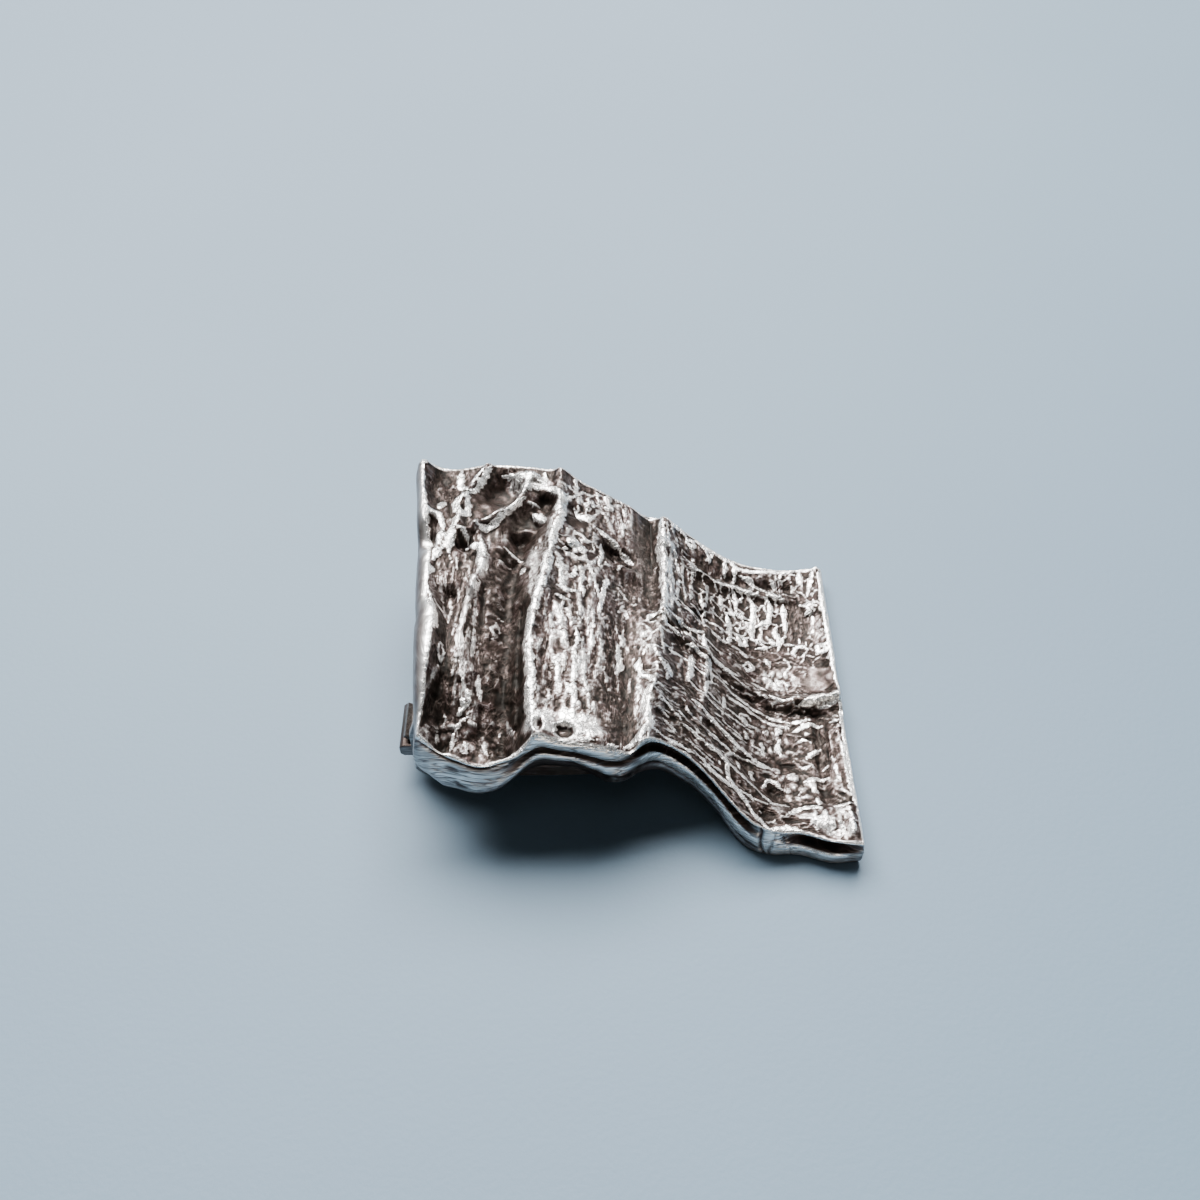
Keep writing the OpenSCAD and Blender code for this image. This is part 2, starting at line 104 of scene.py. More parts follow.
# The room is dim as a light, and pale where it's seen behind the floor
ROOM_LIGHT, ROOM_SEEN = 0.025, 0.5
world = bpy.data.worlds.new("room")
world.use_nodes = True
room = world.node_tree
room.nodes["Background"].inputs["Color"].default_value = (0.78, 0.83, 0.9, 1)
seen = room.nodes.new("ShaderNodeMath")
seen.operation = "MULTIPLY_ADD"
seen.inputs[1].default_value, seen.inputs[2].default_value = ROOM_SEEN, ROOM_LIGHT
room.links.new(room.nodes.new("ShaderNodeLightPath").outputs["Is Camera Ray"], seen.inputs[0])
room.links.new(seen.outputs[0], room.nodes["Background"].inputs["Strength"])
bpy.context.scene.world = world

# %% [markdown]
# Node helpers
# Every finish below is a small graph of nodes. These helpers add a node with its values and link it,
# so that each material reads as a short recipe.

# %% Node helpers
def add(tree, kind, label="", **values):
    """A node with its settings and its sockets' values, given by name with _ for a space."""
    node = tree.nodes.new(kind)
    node.label = label
    for name, value in values.items():
        socket = node.inputs.get(name.replace("_", " "))
        if socket is None:
            setattr(node, name, value)
        elif isinstance(value, bpy.types.NodeSocket):
            tree.links.new(value, socket)
        else:
            socket.default_value = value
    return node

def maths(tree, operation, a, b=0.0, clamp=False):
    """One sum on one or two values, each a number or a socket."""
    node = tree.nodes.new("ShaderNodeMath")
    node.operation = operation
    node.use_clamp = clamp
    for socket, value in zip(node.inputs, (a, b)):
        if isinstance(value, bpy.types.NodeSocket):
            tree.links.new(value, socket)
        else:
            socket.default_value = value
    return node.outputs[0]

def ramp(tree, factor, stops):
    """Colours along a scale from 0 to 1, as pairs of place and grey value or colour."""
    node = tree.nodes.new("ShaderNodeValToRGB")
    elements = node.color_ramp.elements
    while len(elements) < len(stops):
        elements.new(0.5)
    for element, (place, colour) in zip(elements, stops):
        element.position = place
        element.color = (colour,) * 3 + (1,) if isinstance(colour, (int, float)) else tuple(colour) + (1,)
    tree.links.new(factor, node.inputs[0])
    return node.outputs[0]

def material(name):
    """An empty material with its output and its Principled BSDF."""
    made = bpy.data.materials.new(name)
    made.use_nodes = True
    return made, made.node_tree, made.node_tree.nodes["Principled BSDF"]

print("node helpers:", [made.__name__ for made in (add, maths, ramp, material)])

# %% [markdown]
# Floor
# A plain sheet of pale paper. It's wide, so that no edge shows, with a faint tooth.

# %% Floor
HALF_FLOOR, TOOTH_DEPTH = 1.6, 0.06 * MM
SQUARE = ((-1, -1), (1, -1), (1, 1), (-1, 1))
floor_paint, tree, shader = material("pale_paper")
spot = add(tree, "ShaderNodeTexCoord").outputs["Object"]
tooth = add(tree, "ShaderNodeTexNoise", "tooth", Vector=spot, Scale=2600, Detail=4).outputs["Fac"]
clouds = add(tree, "ShaderNodeTexNoise", "clouds", Vector=spot, Scale=14, Detail=2).outputs["Fac"]
paper = ramp(tree, clouds, [(0.3, (0.090, 0.149, 0.211)), (0.7, (0.102, 0.165, 0.230))])
tree.links.new(paper, shader.inputs["Base Color"])
shader.inputs["Roughness"].default_value = 0.62
bump = add(tree, "ShaderNodeBump", Strength=0.25, Distance=TOOTH_DEPTH, Height=tooth)
tree.links.new(bump.outputs["Normal"], shader.inputs["Normal"])

def plain_mesh(name, points, faces):
    """A mesh object from points in metres, at the origin."""
    mesh = bpy.data.meshes.new(name)
    mesh.from_pydata([tuple(map(float, p)) for p in points], [], faces)
    mesh.validate()
    return add_object(name, mesh)

floor = plain_mesh("floor", [(x * HALF_FLOOR, y * HALF_FLOOR, 0) for x, y in SQUARE], [(0, 1, 2, 3)])
floor.data.materials.append(floor_paint)
print("floor, m:", 2 * HALF_FLOOR)

# %% [markdown]
# The wave of the plate
# The plate is one sheet with a hump, a trough beside the hinge and a long slope down to the low end.
# Its smooth wave is a table of heights at stations along its length, as in the solid, with a curve
# through them. The edges and heights weren't drawn: a script measured them in the photo, and they
# were adjusted a little by hand. Places are in millimetres from the near corner of the low end.

# %% Stations and curves
# Near edge x and y, far edge x and y, and the height at five shares across, from the hinge end on
STATIONS = np.array([
    [-28.2, 4.8, -29.8, 28.5, 9.1, 11.3, 10.5, 10.8, 10.2],
    [-26.3, 4.4, -27.8, 28.5, 7.8, 9.8, 9.9, 10.1, 9.5],
    [-24.4, 3.9, -25.8, 29.2, 7.2, 8.6, 9.3, 9.4, 9.1],
    [-22.5, 4.2, -23.7, 29.4, 7.8, 8.9, 9.2, 9, 9],
    [-20.6, 4.9, -21.7, 29.3, 8.7, 9.1, 9.4, 8.8, 8.9],
    [-18.7, 4.7, -19.7, 29.2, 8.7, 8.9, 9, 8.6, 8.5],
    [-16.8, 4.6, -17.7, 28.8, 8.4, 8.2, 8.2, 7.9, 7.6],
    [-14.9, 4.7, -15.7, 28.3, 7.9, 7.4, 7.1, 6.8, 6.7],
    [-12.9, 6, -13.6, 27.8, 7, 6.7, 6.3, 5.9, 5.8],
    [-11, 5.6, -11.6, 27.5, 5.9, 5.7, 5.3, 5, 4.9],
    [-9.1, 4.3, -9.6, 26.9, 4.6, 4.5, 4.1, 3.8, 3.8],
    [-7.2, 2.4, -7.6, 26.2, 3.5, 3.2, 2.7, 2.5, 2.7],
    [-5.3, 1.7, -5.6, 25.6, 2.7, 1.9, 1.6, 1.7, 2],
    [-3.4, 1.8, -3.5, 25.3, 2.4, 1.4, 1.2, 1.4, 1.7],
    [-1.5, 1.2, -1.5, 25.4, 2.4, 1.5, 1.3, 1.2, 1.4],
    [0.6, 1, 0.6, 25.5, 2.4, 1.7, 1.5, 1.4, 1.4],
])
# The hinge end bows outwards: share across and bow, over a share of the length
HINGE_BOW = [(0, 0), (0.1, 0.4), (0.22, 0.8), (0.35, 1.1), (0.43, 0.5),
             (0.55, 0.6), (0.66, 0.7), (0.75, 0.2), (1, 0)]
BOW_SHARE = 0.15
THICKNESS = 1.9
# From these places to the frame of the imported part
ORIGIN_SHIFT = np.array([14.85, -15.05, 0.0])

def ease(t):
    """Smooth step from 0 to 1."""
    s = np.clip(t, 0, 1)
    return s * s * (3 - 2 * s)

def between(t, low, high):
    """1 from low to high, fading over a millimetre beyond."""
    return ease(t - low + 1) * ease(high - t + 1)

def table(pairs, at):
    """Straight lines through pairs of place and value."""
    pairs = np.array(pairs, float)
    return np.interp(at, pairs[:, 0], pairs[:, 1])

def along(values, s):
    """Curve through evenly spaced values, single numbers or arrays like s, at a share s."""
    values = np.asarray(values, float)
    count = len(values) - 1
    i = np.minimum(count - 1, np.floor(s * count)).astype(int)

    def pick(k):
        k = np.clip(k, 0, count)
        return values[k] if values.ndim == 1 else np.take_along_axis(values, k[None], 0)[0]

    a, b, c, d = pick(i - 1), pick(i), pick(i + 1), pick(i + 2)
    f = s * count - i
    return b + f * ((c - a) / 2 + f * (a - 2.5 * b + 2 * c - d / 2 + f * (1.5 * (b - c) + (d - a) / 2)))

def plan(u, v):
    """Place of a share u along and v across the plate."""
    near_x, near_y, far_x, far_y = (along(STATIONS[:, k], u) for k in range(4))
    bow = table(HINGE_BOW, v) * ease(1 - u / BOW_SHARE)
    return near_x * (1 - v) + far_x * v + bow, near_y * (1 - v) + far_y * v

def wave(u, v):
    """Height of the smooth wave."""
    return along([along(STATIONS[:, k], u) for k in range(4, 9)], v)

print("stations:", len(STATIONS), "from", STATIONS[0, 0], "to", STATIONS[-1, 0], "mm")

# %% [markdown]
# The large folds
# Ridges, channels and craters a millimetre deep or so are in the solid too, because they're part of
# its shape. Each is a bell along a bent line, or a round dent.

# %% Folds and dents
# Height, half widths towards the hinge and the low end, start and stop in y, line of y and x
CROSS_FOLDS = [
    (0.35, 0.5, 0.4, 4, 28, [(5, -28.2), (9, -27.9), (12, -27.7), (14.5, -27.9), (17, -28.5), (20, -29.1),
                             (23, -29), (26, -29.7), (29, -29.6)]),
    (-0.7, 0.5, 0.6, 5, 16, [(5, -26.9), (8, -27.1), (12, -27), (16, -27)]),
    (0.4, 0.5, 0.45, 6.5, 19, [(7, -24.9), (9, -25.2), (12, -25.5), (15, -25.7), (18, -25.2)]),
    (-1.1, 1, 0.8, 5, 22.5, [(5, -22.9), (9, -23), (13, -22.9), (17, -22.9), (20, -22.6), (23, -22.2)]),
    (0.6, 0.45, 0.9, 4, 29, [(5, -20.8), (8, -21.2), (11, -21.4), (13, -21.4), (15, -21.2), (17, -20.8),
                             (20, -20.4), (25, -19.8), (29, -19.6)]),
    (0.55, 0.45, 0.45, 21.5, 27, [(21.5, -26.4), (22.6, -25.4), (24, -24.1), (25.5, -22.9), (27, -22.2)]),
    (0.4, 0.35, 0.35, 21.5, 29, [(22, -26.8), (24, -26.7), (25.5, -26.6), (27, -26.1), (29, -25.1)]),
    (0.4, 0.35, 0.35, 16.5, 22.5, [(16.5, -25.4), (18.5, -24.9), (20.5, -25), (22.5, -25.6)]),
    (-0.45, 1.1, 0.8, 4, 20, [(5, -14.9), (11, -15), (15, -14.9), (20, -14.6)]),
    (-0.6, 0.8, 0.6, 18.5, 29, [(19, -13.2), (23, -12.9), (28, -12.9)]),
    (0.55, 0.35, 0.9, 5, 27.2, [(6, -14), (8, -13.5), (10, -13.1), (12, -12.7), (14.5, -12.8),
                                (16.2, -12.4), (18, -12.1), (20, -11.9), (28, -11.7)]),
    (0.2, 0.3, 0.3, 9, 22, [(9, -9.8), (12, -9.3), (16, -8.9), (22, -8.8)]),
    (0.3, 0.4, 0.4, 2, 25.5, [(2, 0.1), (9, 0), (14, 0.4), (20, 0.3), (25, 0.2)]),
    (-0.35, 0.4, 0.35, 4.5, 11.5, [(5, -1.3), (8, -1.2), (11.5, -1.1)]),
]
# The same, with half widths towards the near and the far edge, and lines of x and y
LONG_FOLDS = [
    (-0.2, 0.35, 0.3, -11, 0.6, [(-10.5, 15.1), (-9, 14.3), (-7.7, 13.6), (-5, 12.4), (-3.2, 12),
                                 (0, 11.9)]),
    (0.3, 0.45, 0.5, -12, 0.8, [(-12, 17.4), (-10.5, 16), (-9, 15.3), (-7.5, 14.6), (-5, 13.4),
                                (-2.8, 12.9), (0.6, 13.1)]),
    (0.3, 0.3, 0.6, -2.8, 1, [(-2.8, 12.8), (0.6, 13.2)]),
    (0.35, 0.4, 0.4, -12, -2.4, [(-11.8, 24.4), (-9.6, 23.4), (-8, 22.8), (-4.6, 22.7), (-2.4, 22.4)]),
    (-0.35, 0.4, 0.6, -10.5, -2, [(-10, 24.6), (-8, 23.9), (-4.6, 23.7), (-2, 23.5)]),
    (0.3, 0.7, 0.6, -21.4, -15.6, [(-21.4, 5.6), (-18.5, 5.5), (-15.6, 5.3)]),
    (0.25, 0.6, 0.6, -13.4, -4.6, [(-13.4, 9.8), (-11, 8.2), (-9, 6.8), (-7, 5), (-5, 3.2)]),
    (-0.3, 0.8, 0.7, -9.6, -4, [(-9.6, 9.2), (-7.5, 7.4), (-5.8, 5.6), (-4, 4.6)]),
]
# x, y, half width along and across, turn in degrees, height
DENTS = [
    (-23.9, 26.7, 1.35, 1.9, -15, -1.2), (-21.9, 23.9, 1.15, 2, -25, -0.9), (-20.6, 26, 0.6, 0.8, 40, -0.7),
    (-21.1, 24.5, 0.36, 0.9, 43, 0.42), (-22.2, 28.1, 1, 0.5, 0, 0.35), (-28.4, 26.2, 0.8, 2, 0, -0.5),
    (-29.6, 28.2, 0.6, 0.6, 0, 0.1), (-28.6, 21.2, 0.4, 1.5, 5, -0.7), (-26.4, 20.6, 0.6, 0.6, 0, -0.6),
    (-23.3, 20.7, 0.8, 0.4, -20, 0.4), (-15.3, 22.4, 1.2, 0.8, -30, -0.8),
    (-18.7, 25.3, 0.9, 0.5, -20, -0.45), (-18.8, 22, 0.6, 0.5, 0, 0.3), (-18.9, 5.6, 0.62, 0.55, 0, -0.6),
    (-20.6, 5.7, 0.25, 0.45, 0, -0.5), (-10.6, 16.9, 0.6, 0.5, -20, -0.4), (-9, 19, 0.6, 0.7, 0, -0.4),
    (-1.8, 3, 1.6, 1, 10, 0.35), (-0.6, 21.6, 0.6, 0.6, 0, 0.25),
    # stones of metal left in the craters
    (-24.4, 25.5, 0.75, 1.0, -20, 0.4), (-22, 22.9, 0.7, 0.9, -10, 0.35), (-28.3, 25.9, 0.4, 0.9, 5, 0.2),
]

def fold(row, across, down):
    """Height of one bell along a bent line."""
    height, low, high, start, stop, line = row
    off = across - table(line, down)
    return height * between(down, start, stop) * np.exp(-(off / np.where(off < 0, low, high)) ** 2)

def oval(x, y, cx, cy, half_x, half_y, turn):
    """Squared distance from the middle of an oval, 1 at its edge."""
    c, s = math.cos(math.radians(turn)), math.sin(math.radians(turn))
    px, py = x - cx, y - cy
    return ((px * c + py * s) / half_x) ** 2 + ((py * c - px * s) / half_y) ** 2

def folds(x, y):
    """Height of all folds and dents together."""
    total = sum(fold(row, x, y) for row in CROSS_FOLDS) + sum(fold(row, y, x) for row in LONG_FOLDS)
    for cx, cy, half_x, half_y, turn, height in DENTS:
        total += height * np.exp(-oval(x, y, cx, cy, half_x, half_y, turn) ** 2)
    return total

print("folds:", len(CROSS_FOLDS) + len(LONG_FOLDS), "dents:", len(DENTS))

# %% [markdown]
# Random textures
# Cast bark has small patterns: cracks round flat scales, long fibres, nets and pebbles. All come from two
# simple ones, smooth noise on a lattice and cells round scattered points, both from a fixed seed. They're
# called with places divided by the size of their features in millimetres.

# %% Smooth noise and cells
LATTICE = 128
random_table = np.random.default_rng(41).random((4, LATTICE, LATTICE))

def noise(x, y, layer=0):
    """Smooth noise from -1 to 1 with features about one unit wide."""
    i, j = np.floor(x).astype(int), np.floor(y).astype(int)
    fx, fy = ease(x - i), ease(y - j)

    def value(a, b):
        return random_table[layer, a % LATTICE, b % LATTICE]

    low = value(i, j) * (1 - fx) + value(i + 1, j) * fx
    high = value(i, j + 1) * (1 - fx) + value(i + 1, j + 1) * fx
    return 2 * (low * (1 - fy) + high * fy) - 1

def rough_noise(x, y, layer=0):
    """Three sizes of noise, each half as strong as the one before."""
    middle = noise(2.1 * x + 7, 2.1 * y + 3, layer)
    fine = noise(4.3 * x, 4.3 * y + 9, layer)
    return (noise(x, y, layer) + 0.5 * middle + 0.25 * fine) / 1.5

def cells(x, y):
    """Distance to the nearest and the second nearest of points scattered one to a unit square."""
    i, j = np.floor(x).astype(int), np.floor(y).astype(int)
    near = np.full(x.shape, 9.0)
    second = np.full(x.shape, 9.0)
    for di in (-1, 0, 1):
        for dj in (-1, 0, 1):
            a, b = i + di, j + dj
            px = a + random_table[2, a % LATTICE, b % LATTICE]
            py = b + random_table[3, a % LATTICE, b % LATTICE]
            d = np.hypot(x - px, y - py)
            second = np.minimum(second, np.maximum(d, near))
            near = np.minimum(near, d)
    return near, second

print("random values:", random_table.size)

# %% [markdown]
# The grid of the face
# A fine grid of points covers the plate, a tenth of a millimetre apart, so that even the thin veins
# are real shape and catch the light by themselves.

# %% Face grid
CELLS_LONG, CELLS_WIDE = 300, 250
steps_long, steps_wide = np.linspace(0, 1, CELLS_LONG + 1), np.linspace(0, 1, CELLS_WIDE + 1)
share_v, share_u = np.meshgrid(steps_wide, steps_long, indexing="ij")
plan_x, plan_y = plan(share_u, share_v)
edge_cells = np.minimum.reduce([
    share_u * CELLS_LONG, (1 - share_u) * CELLS_LONG, share_v * CELLS_WIDE, (1 - share_v) * CELLS_WIDE])
# The drawn lines waver a little, as cast ones do, and less at the rim
WAVER, FINE_WAVER = 0.1, 0.07
WAVE_SIZE, FINE_SIZE = 0.8, 0.3
calm = 0.35 + 0.65 * ease(edge_cells / 8)
wide_x, wide_y = plan_x / WAVE_SIZE, plan_y / WAVE_SIZE
fine_x, fine_y = plan_x / FINE_SIZE, plan_y / FINE_SIZE
waver_x = WAVER * noise(wide_x, wide_y, 0) + FINE_WAVER * noise(fine_x, fine_y, 1)
waver_y = WAVER * noise(wide_x + 31, wide_y, 1) + FINE_WAVER * noise(fine_x, fine_y + 17, 0)
face_x, face_y = plan_x + calm * waver_x, plan_y + calm * waver_y
print("points on the face:", face_x.size)

# %% [markdown]
# Zones of texture
# The pattern changes over the face: flat cracked scales on the hump, fibres in the channels, a flow of
# lines down the slope and pebbles near the corner. Each row lays one soft oval of pattern and tone over
# what's there. Tone runs from 0, black oxide, to 1, rubbed silver.

# %% Zone table
# x, y, half width along and across, turn, tone, contrast, pattern
ZONES = [
    (-24, 22, 8, 12, 0, 0.30, 0.55, "strands"),
    (-6, 20, 8, 9, 0, 0.31, 0.9, "net"),
    (-5, 8, 9, 9, 0, 0.29, 0.75, "flow"),
    (-18.5, 17, 4, 14, 0, 0.4, 0.9, "scales"),
    # hinge corner and rim
    (-28.5, 26.2, 1.3, 2.4, 0, 0.20, 0.6, "strands"),
    (-27.9, 20, 1.6, 3.4, 0, 0.36, 0.8, "pebbles"),
    (-26.6, 17.5, 1.8, 2.2, 0, 0.30, 0.9, "strands"),
    (-26.6, 26.5, 1.3, 2.6, 10, 0.30, 0.6, "strands"),
    # craters
    (-24.2, 25.4, 1.9, 2.8, -20, 0.34, 1.1, "smooth"),
    (-21.7, 23.4, 1.5, 2.5, -25, 0.35, 1.1, "smooth"),
    (-22, 27.9, 1.6, 1, 0, 0.8, 0.7, "scales"), (-21.1, 24.5, 0.3, 0.75, 43, 0.97, 0.5, "scales"),
    # channels beside the rim
    (-27, 9, 0.9, 4.5, 0, 0.12, 0.5, "strands"),
    (-25.5, 11.5, 1, 5.5, 0, 0.34, 0.9, "strands"),
    (-26.2, 5.6, 1.8, 1.4, 0, 0.33, 1, "pebbles"),
    (-23.4, 16, 1.6, 5.5, 0, 0.22, 0.6, "pebbles"),
    (-23.4, 9.5, 1.4, 3.4, 0, 0.22, 0.6, "scales"),
    (-21.9, 11, 0.6, 6.5, 0, 0.03, 0.25, "strands"),
    (-23.8, 5.9, 1.4, 1.3, 0, 0.24, 1, "pebbles"),
    (-24.9, 20, 0.6, 2.4, 0, 0.6, 0.6, "strands"),
    # hump
    (-19, 12, 1.8, 5.4, 0, 0.56, 1.1, "scales"),
    (-18.9, 17.5, 1.9, 2.6, 0, 0.5, 1.1, "scales"),
    (-18.4, 20.7, 1, 0.9, 0, 0.24, 0.6, "scales"),
    (-18, 21.5, 3, 1.3, 0, 0.5, 1, "net"),
    (-17.6, 26.7, 2.4, 1.5, 0, 0.56, 0.8, "net"),
    (-19.6, 28.5, 1.2, 0.7, 0, 0.25, 0.6, "strands"),
    (-17.9, 28.4, 0.8, 0.6, 0, 0.25, 0.5, "strands"),
    (-18.5, 24.4, 0.9, 0.8, 0, 0.22, 0.3, "smooth"),
    (-15.4, 26, 1.5, 2, 0, 0.42, 0.8, "strands"),
    (-18.9, 6.1, 2.6, 1.2, 0, 0.93, 0.5, "scales"), (-18.9, 5.6, 0.62, 0.5, 0, 0.2, 0.8, "pebbles"),
    (-20.5, 13, 0.5, 5, 0, 0.42, 0.8, "strands"),
    # fibrous trough
    (-15.6, 11, 1.5, 6.5, 0, 0.24, 1, "strands"),
    (-16.9, 14, 0.8, 4.6, 0, 0.50, 1, "strands"),
    (-15.2, 12.5, 0.6, 2.2, 0, 0.46, 0.9, "strands"),
    (-14.7, 8.8, 0.8, 4.2, 0, 0.12, 0.6, "strands"),
    (-15.4, 18.3, 1.5, 2.2, 0, 0.36, 1, "strands"),
    (-15.3, 22.1, 1.3, 1.3, -20, 0.12, 0.6, "pebbles"),
    # smooth facet and second ridge
    (-13.3, 24.4, 1, 3.2, 0, 0.24, 0.3, "strands"),
    (-13.4, 19.8, 1.1, 2.2, 0, 0.28, 0.7, "strands"),
    (-11.3, 22, 1, 5.4, 0, 0.6, 1, "strands"),
    (-12.5, 14.8, 1.5, 1.9, 0, 0.52, 0.8, "net"),
    (-12.5, 10.2, 1.4, 3.4, 0, 0.38, 0.9, "flow"),
    (-13.7, 8.6, 0.7, 3.6, 0, 0.68, 1, "strands"),
    # upper right
    (-10, 26.2, 1.5, 1.1, -10, 0.34, 0.8, "strands"),
    (-6.4, 24.6, 3.2, 1, -8, 0.34, 0.7, "strands"),
    (-10.4, 19.5, 1, 2.6, 0, 0.34, 0.9, "strands"),
    (-5, 21.3, 2.8, 1.5, 0, 0.47, 0.9, "net"),
    (-5.3, 19, 2.8, 1.3, 0, 0.52, 0.9, "net"),
    (-5, 16.8, 3.4, 1.1, 0, 0.28, 0.6, "flow"),
    (-1.8, 20.4, 1, 2.4, 0, 0.28, 0.7, "strands"),
    (-0.3, 23.2, 0.9, 2, 0, 0.50, 0.9, "net"),
    (-0.1, 19.5, 0.6, 2.2, 0, 0.5, 0.8, "strands"),
    (-3.6, 14.8, 1.5, 1, 0, 0.62, 1, "pebbles"),
    (-0.6, 14.9, 1.2, 1.2, 0, 0.47, 0.8, "smooth"),
    (-8.4, 17.8, 0.7, 1.6, 0, 0.26, 0.6, "strands"),
    # valley and lower right
    (-9.7, 13.2, 1.6, 1.7, -20, 0.42, 0.9, "strands"),
    (-7.2, 13.5, 1.5, 0.4, -35, 0.3, 1, "flow"),
    (-3.2, 12.2, 2.2, 0.45, -6, 0.3, 1, "flow"),
    (-0.4, 12.9, 1.3, 0.55, 8, 1.02, 0.45, "scales"),
    (-5, 9.2, 2.4, 1.8, -10, 0.34, 1, "pebbles"),
    (-1, 9, 1, 2.6, 0, 0.18, 0.7, "strands"),
    (0.3, 7.4, 0.6, 3.2, 0, 0.42, 1, "scales"),
    (-8.6, 8, 1.9, 1.4, -35, 0.28, 0.9, "flow"), (-10.7, 9.6, 0.7, 0.5, -40, 0.12, 0.6, "pebbles"),
    (-8.3, 5.6, 0.9, 0.5, -38, 0.14, 0.6, "pebbles"),
    (-6.9, 7, 0.9, 0.55, -35, 0.12, 0.6, "pebbles"),
    (-11.9, 11.7, 0.6, 0.8, 0, 0.16, 0.7, "flow"),
    (-3.4, 7.4, 1.5, 0.7, 0, 0.18, 0.5, "pebbles"),
    (-2.6, 5.5, 2.3, 1.2, 0, 0.38, 1, "pebbles"),
    (-5.4, 4.8, 1.2, 1, 20, 0.16, 0.6, "pebbles"),
    (-0.8, 2.7, 1.9, 1.3, 5, 0.72, 1.1, "scales"),
    (-4.6, 1.9, 1.4, 0.5, 0, 0.5, 0.6, "smooth"),
]
print("zones:", len(ZONES))

# %% Patterns
SCALE_SIZE, PEBBLE_SIZE, STRAND_WIDTH, STRAND_LENGTH = 0.42, 0.6, 0.24, 1.7

def bent_cells(across, down, size, longer):
    """Distance to the nearest point, and by how much the next one is farther, in bent long cells."""
    bend_a = 0.45 * noise(across / (0.7 * size), down / size, 1)
    bend_a += 0.2 * noise(across / (0.35 * size), down / (0.4 * size), 3)
    bend_b = 0.45 * noise(across / (0.8 * size) + 9, down / size, 0)
    near, second = cells(across / size + bend_a, down / (longer * size) + bend_b)
    return near, second - near

def scales(x, y):
    """Flat scales with thin cracks between them, longer across the plate than along it."""
    _, gap = bent_cells(x, y, 1.4 * SCALE_SIZE, 2.2)
    broken = ease(0.6 + noise(x / 0.9, y / 0.9, 0))
    cracked = 0.4 - 1.3 * broken * (1 - ease(gap / 0.2))
    return cracked + 1.3 * noise(x / 0.34, y / 1.1, 2) + 0.6 * noise(x / 0.2, y / 0.45, 3)

def net(x, y):
    """Dark cells with raised borders."""
    _, gap = bent_cells(x, y, 1.75 * SCALE_SIZE, 1.5)
    return 2.4 * (1 - ease(gap / 0.24)) - 0.7 + 0.45 * rough_noise(x / 0.5, y / 0.7, 2)

def pebbles(x, y):
    """Round grains, close together."""
    near, gap = bent_cells(x, y, PEBBLE_SIZE, 1.1)
    return 1.3 - 2.2 * near - 0.6 * (1 - ease(gap / 0.3)) + 0.4 * rough_noise(x / 0.4, y / 0.4, 3)

def streaks(across, down, layer):
    """Long fibres that run down, of two widths."""
    wide = noise(across / STRAND_WIDTH, down / STRAND_LENGTH, layer)
    thin = noise(2.1 * across / STRAND_WIDTH + 5, down / (0.5 * STRAND_LENGTH), layer)
    return 1.2 * wide + 0.5 * thin + 0.3 * noise(across / 0.3, down / 0.3, 3)

def strands(x, y):
    """Fibres between thin crests that run across the plate."""
    bend = 0.25 * noise(x / 2.5, y / 2.5, 2) + 0.08 * noise(x / 0.5, y / 0.7, 0)
    _, gap = bent_cells(x + bend, y, 0.34, 3.4)
    return 0.7 * streaks(x + bend, y, 0) + 0.9 * (1 - ease(gap / 0.4)) - 0.35

def fall(x):
    """How far the slope's lines have sunk towards the near edge at a place along it."""
    return 0.75 * np.clip(x + 11, 0, None) - 0.047 * np.clip(x + 11, 0, 8.5) ** 2

def flow(x, y):
    """Lines that slant down the slope and level out at the low end."""
    across = y + fall(x) + 0.3 * noise(x / 2, y / 2, 2)
    _, gap = bent_cells(across, x, 0.52, 3.6)
    return 0.6 * streaks(across, x, 1) + 1.6 * (1 - ease(gap / 0.3)) - 0.5

def smooth(x, y):
    """Soft swells, as on metal that ran."""
    return 0.8 * rough_noise(x / 0.5, y / 0.5)

patterns = {made.__name__: made for made in (scales, net, strands, flow, pebbles, smooth)}
print("patterns:", ", ".join(patterns))

# %% Texture of the face
BASE_TONE, BASE_CONTRAST = 0.34, 0.7
tone = np.full(face_x.shape, BASE_TONE)
contrast = np.full(face_x.shape, BASE_CONTRAST)
mix = {name: np.full(face_x.shape, 1.0 if name == "strands" else 0.0) for name in patterns}
for cx, cy, half_x, half_y, turn, zone_tone, zone_contrast, pattern in ZONES:
    edge = np.sqrt(oval(face_x, face_y, cx, cy, half_x, half_y, turn))
    weight = ease((1.15 - edge + 0.15 * noise(face_x / 0.7, face_y / 0.7, 3)) / 0.4)
    tone += (zone_tone - tone) * weight
    contrast += (zone_contrast - contrast) * weight
    for name in patterns:
        mix[name] += ((name == pattern) - mix[name]) * weight
texture = sum(mix[name] * patterns[name](face_x, face_y) for name in patterns)
# Thin crests wander over every pattern, where a noise crosses zero
crossing = noise(face_x / 0.36, face_y / 0.42, 1) + 0.4 * noise(face_x / 0.17, face_y / 0.2, 2)
crests = ease((0.45 - np.abs(crossing)) / 0.45)
texture += 0.5 * (crests - 0.45) * (1 - mix["smooth"] - 0.5 * mix["net"])
print("texture from", round(float(texture.min()), 2), "to", round(float(texture.max()), 2))

# %% [markdown]
# Veins
# Over the patterns run the veins: raised, rubbed lines that fork, loop and knot. They were drawn as
# strokes, each a row of places with a half width, the way a modeller lays threads of wax on a model.
# A few strokes are cut instead of raised.

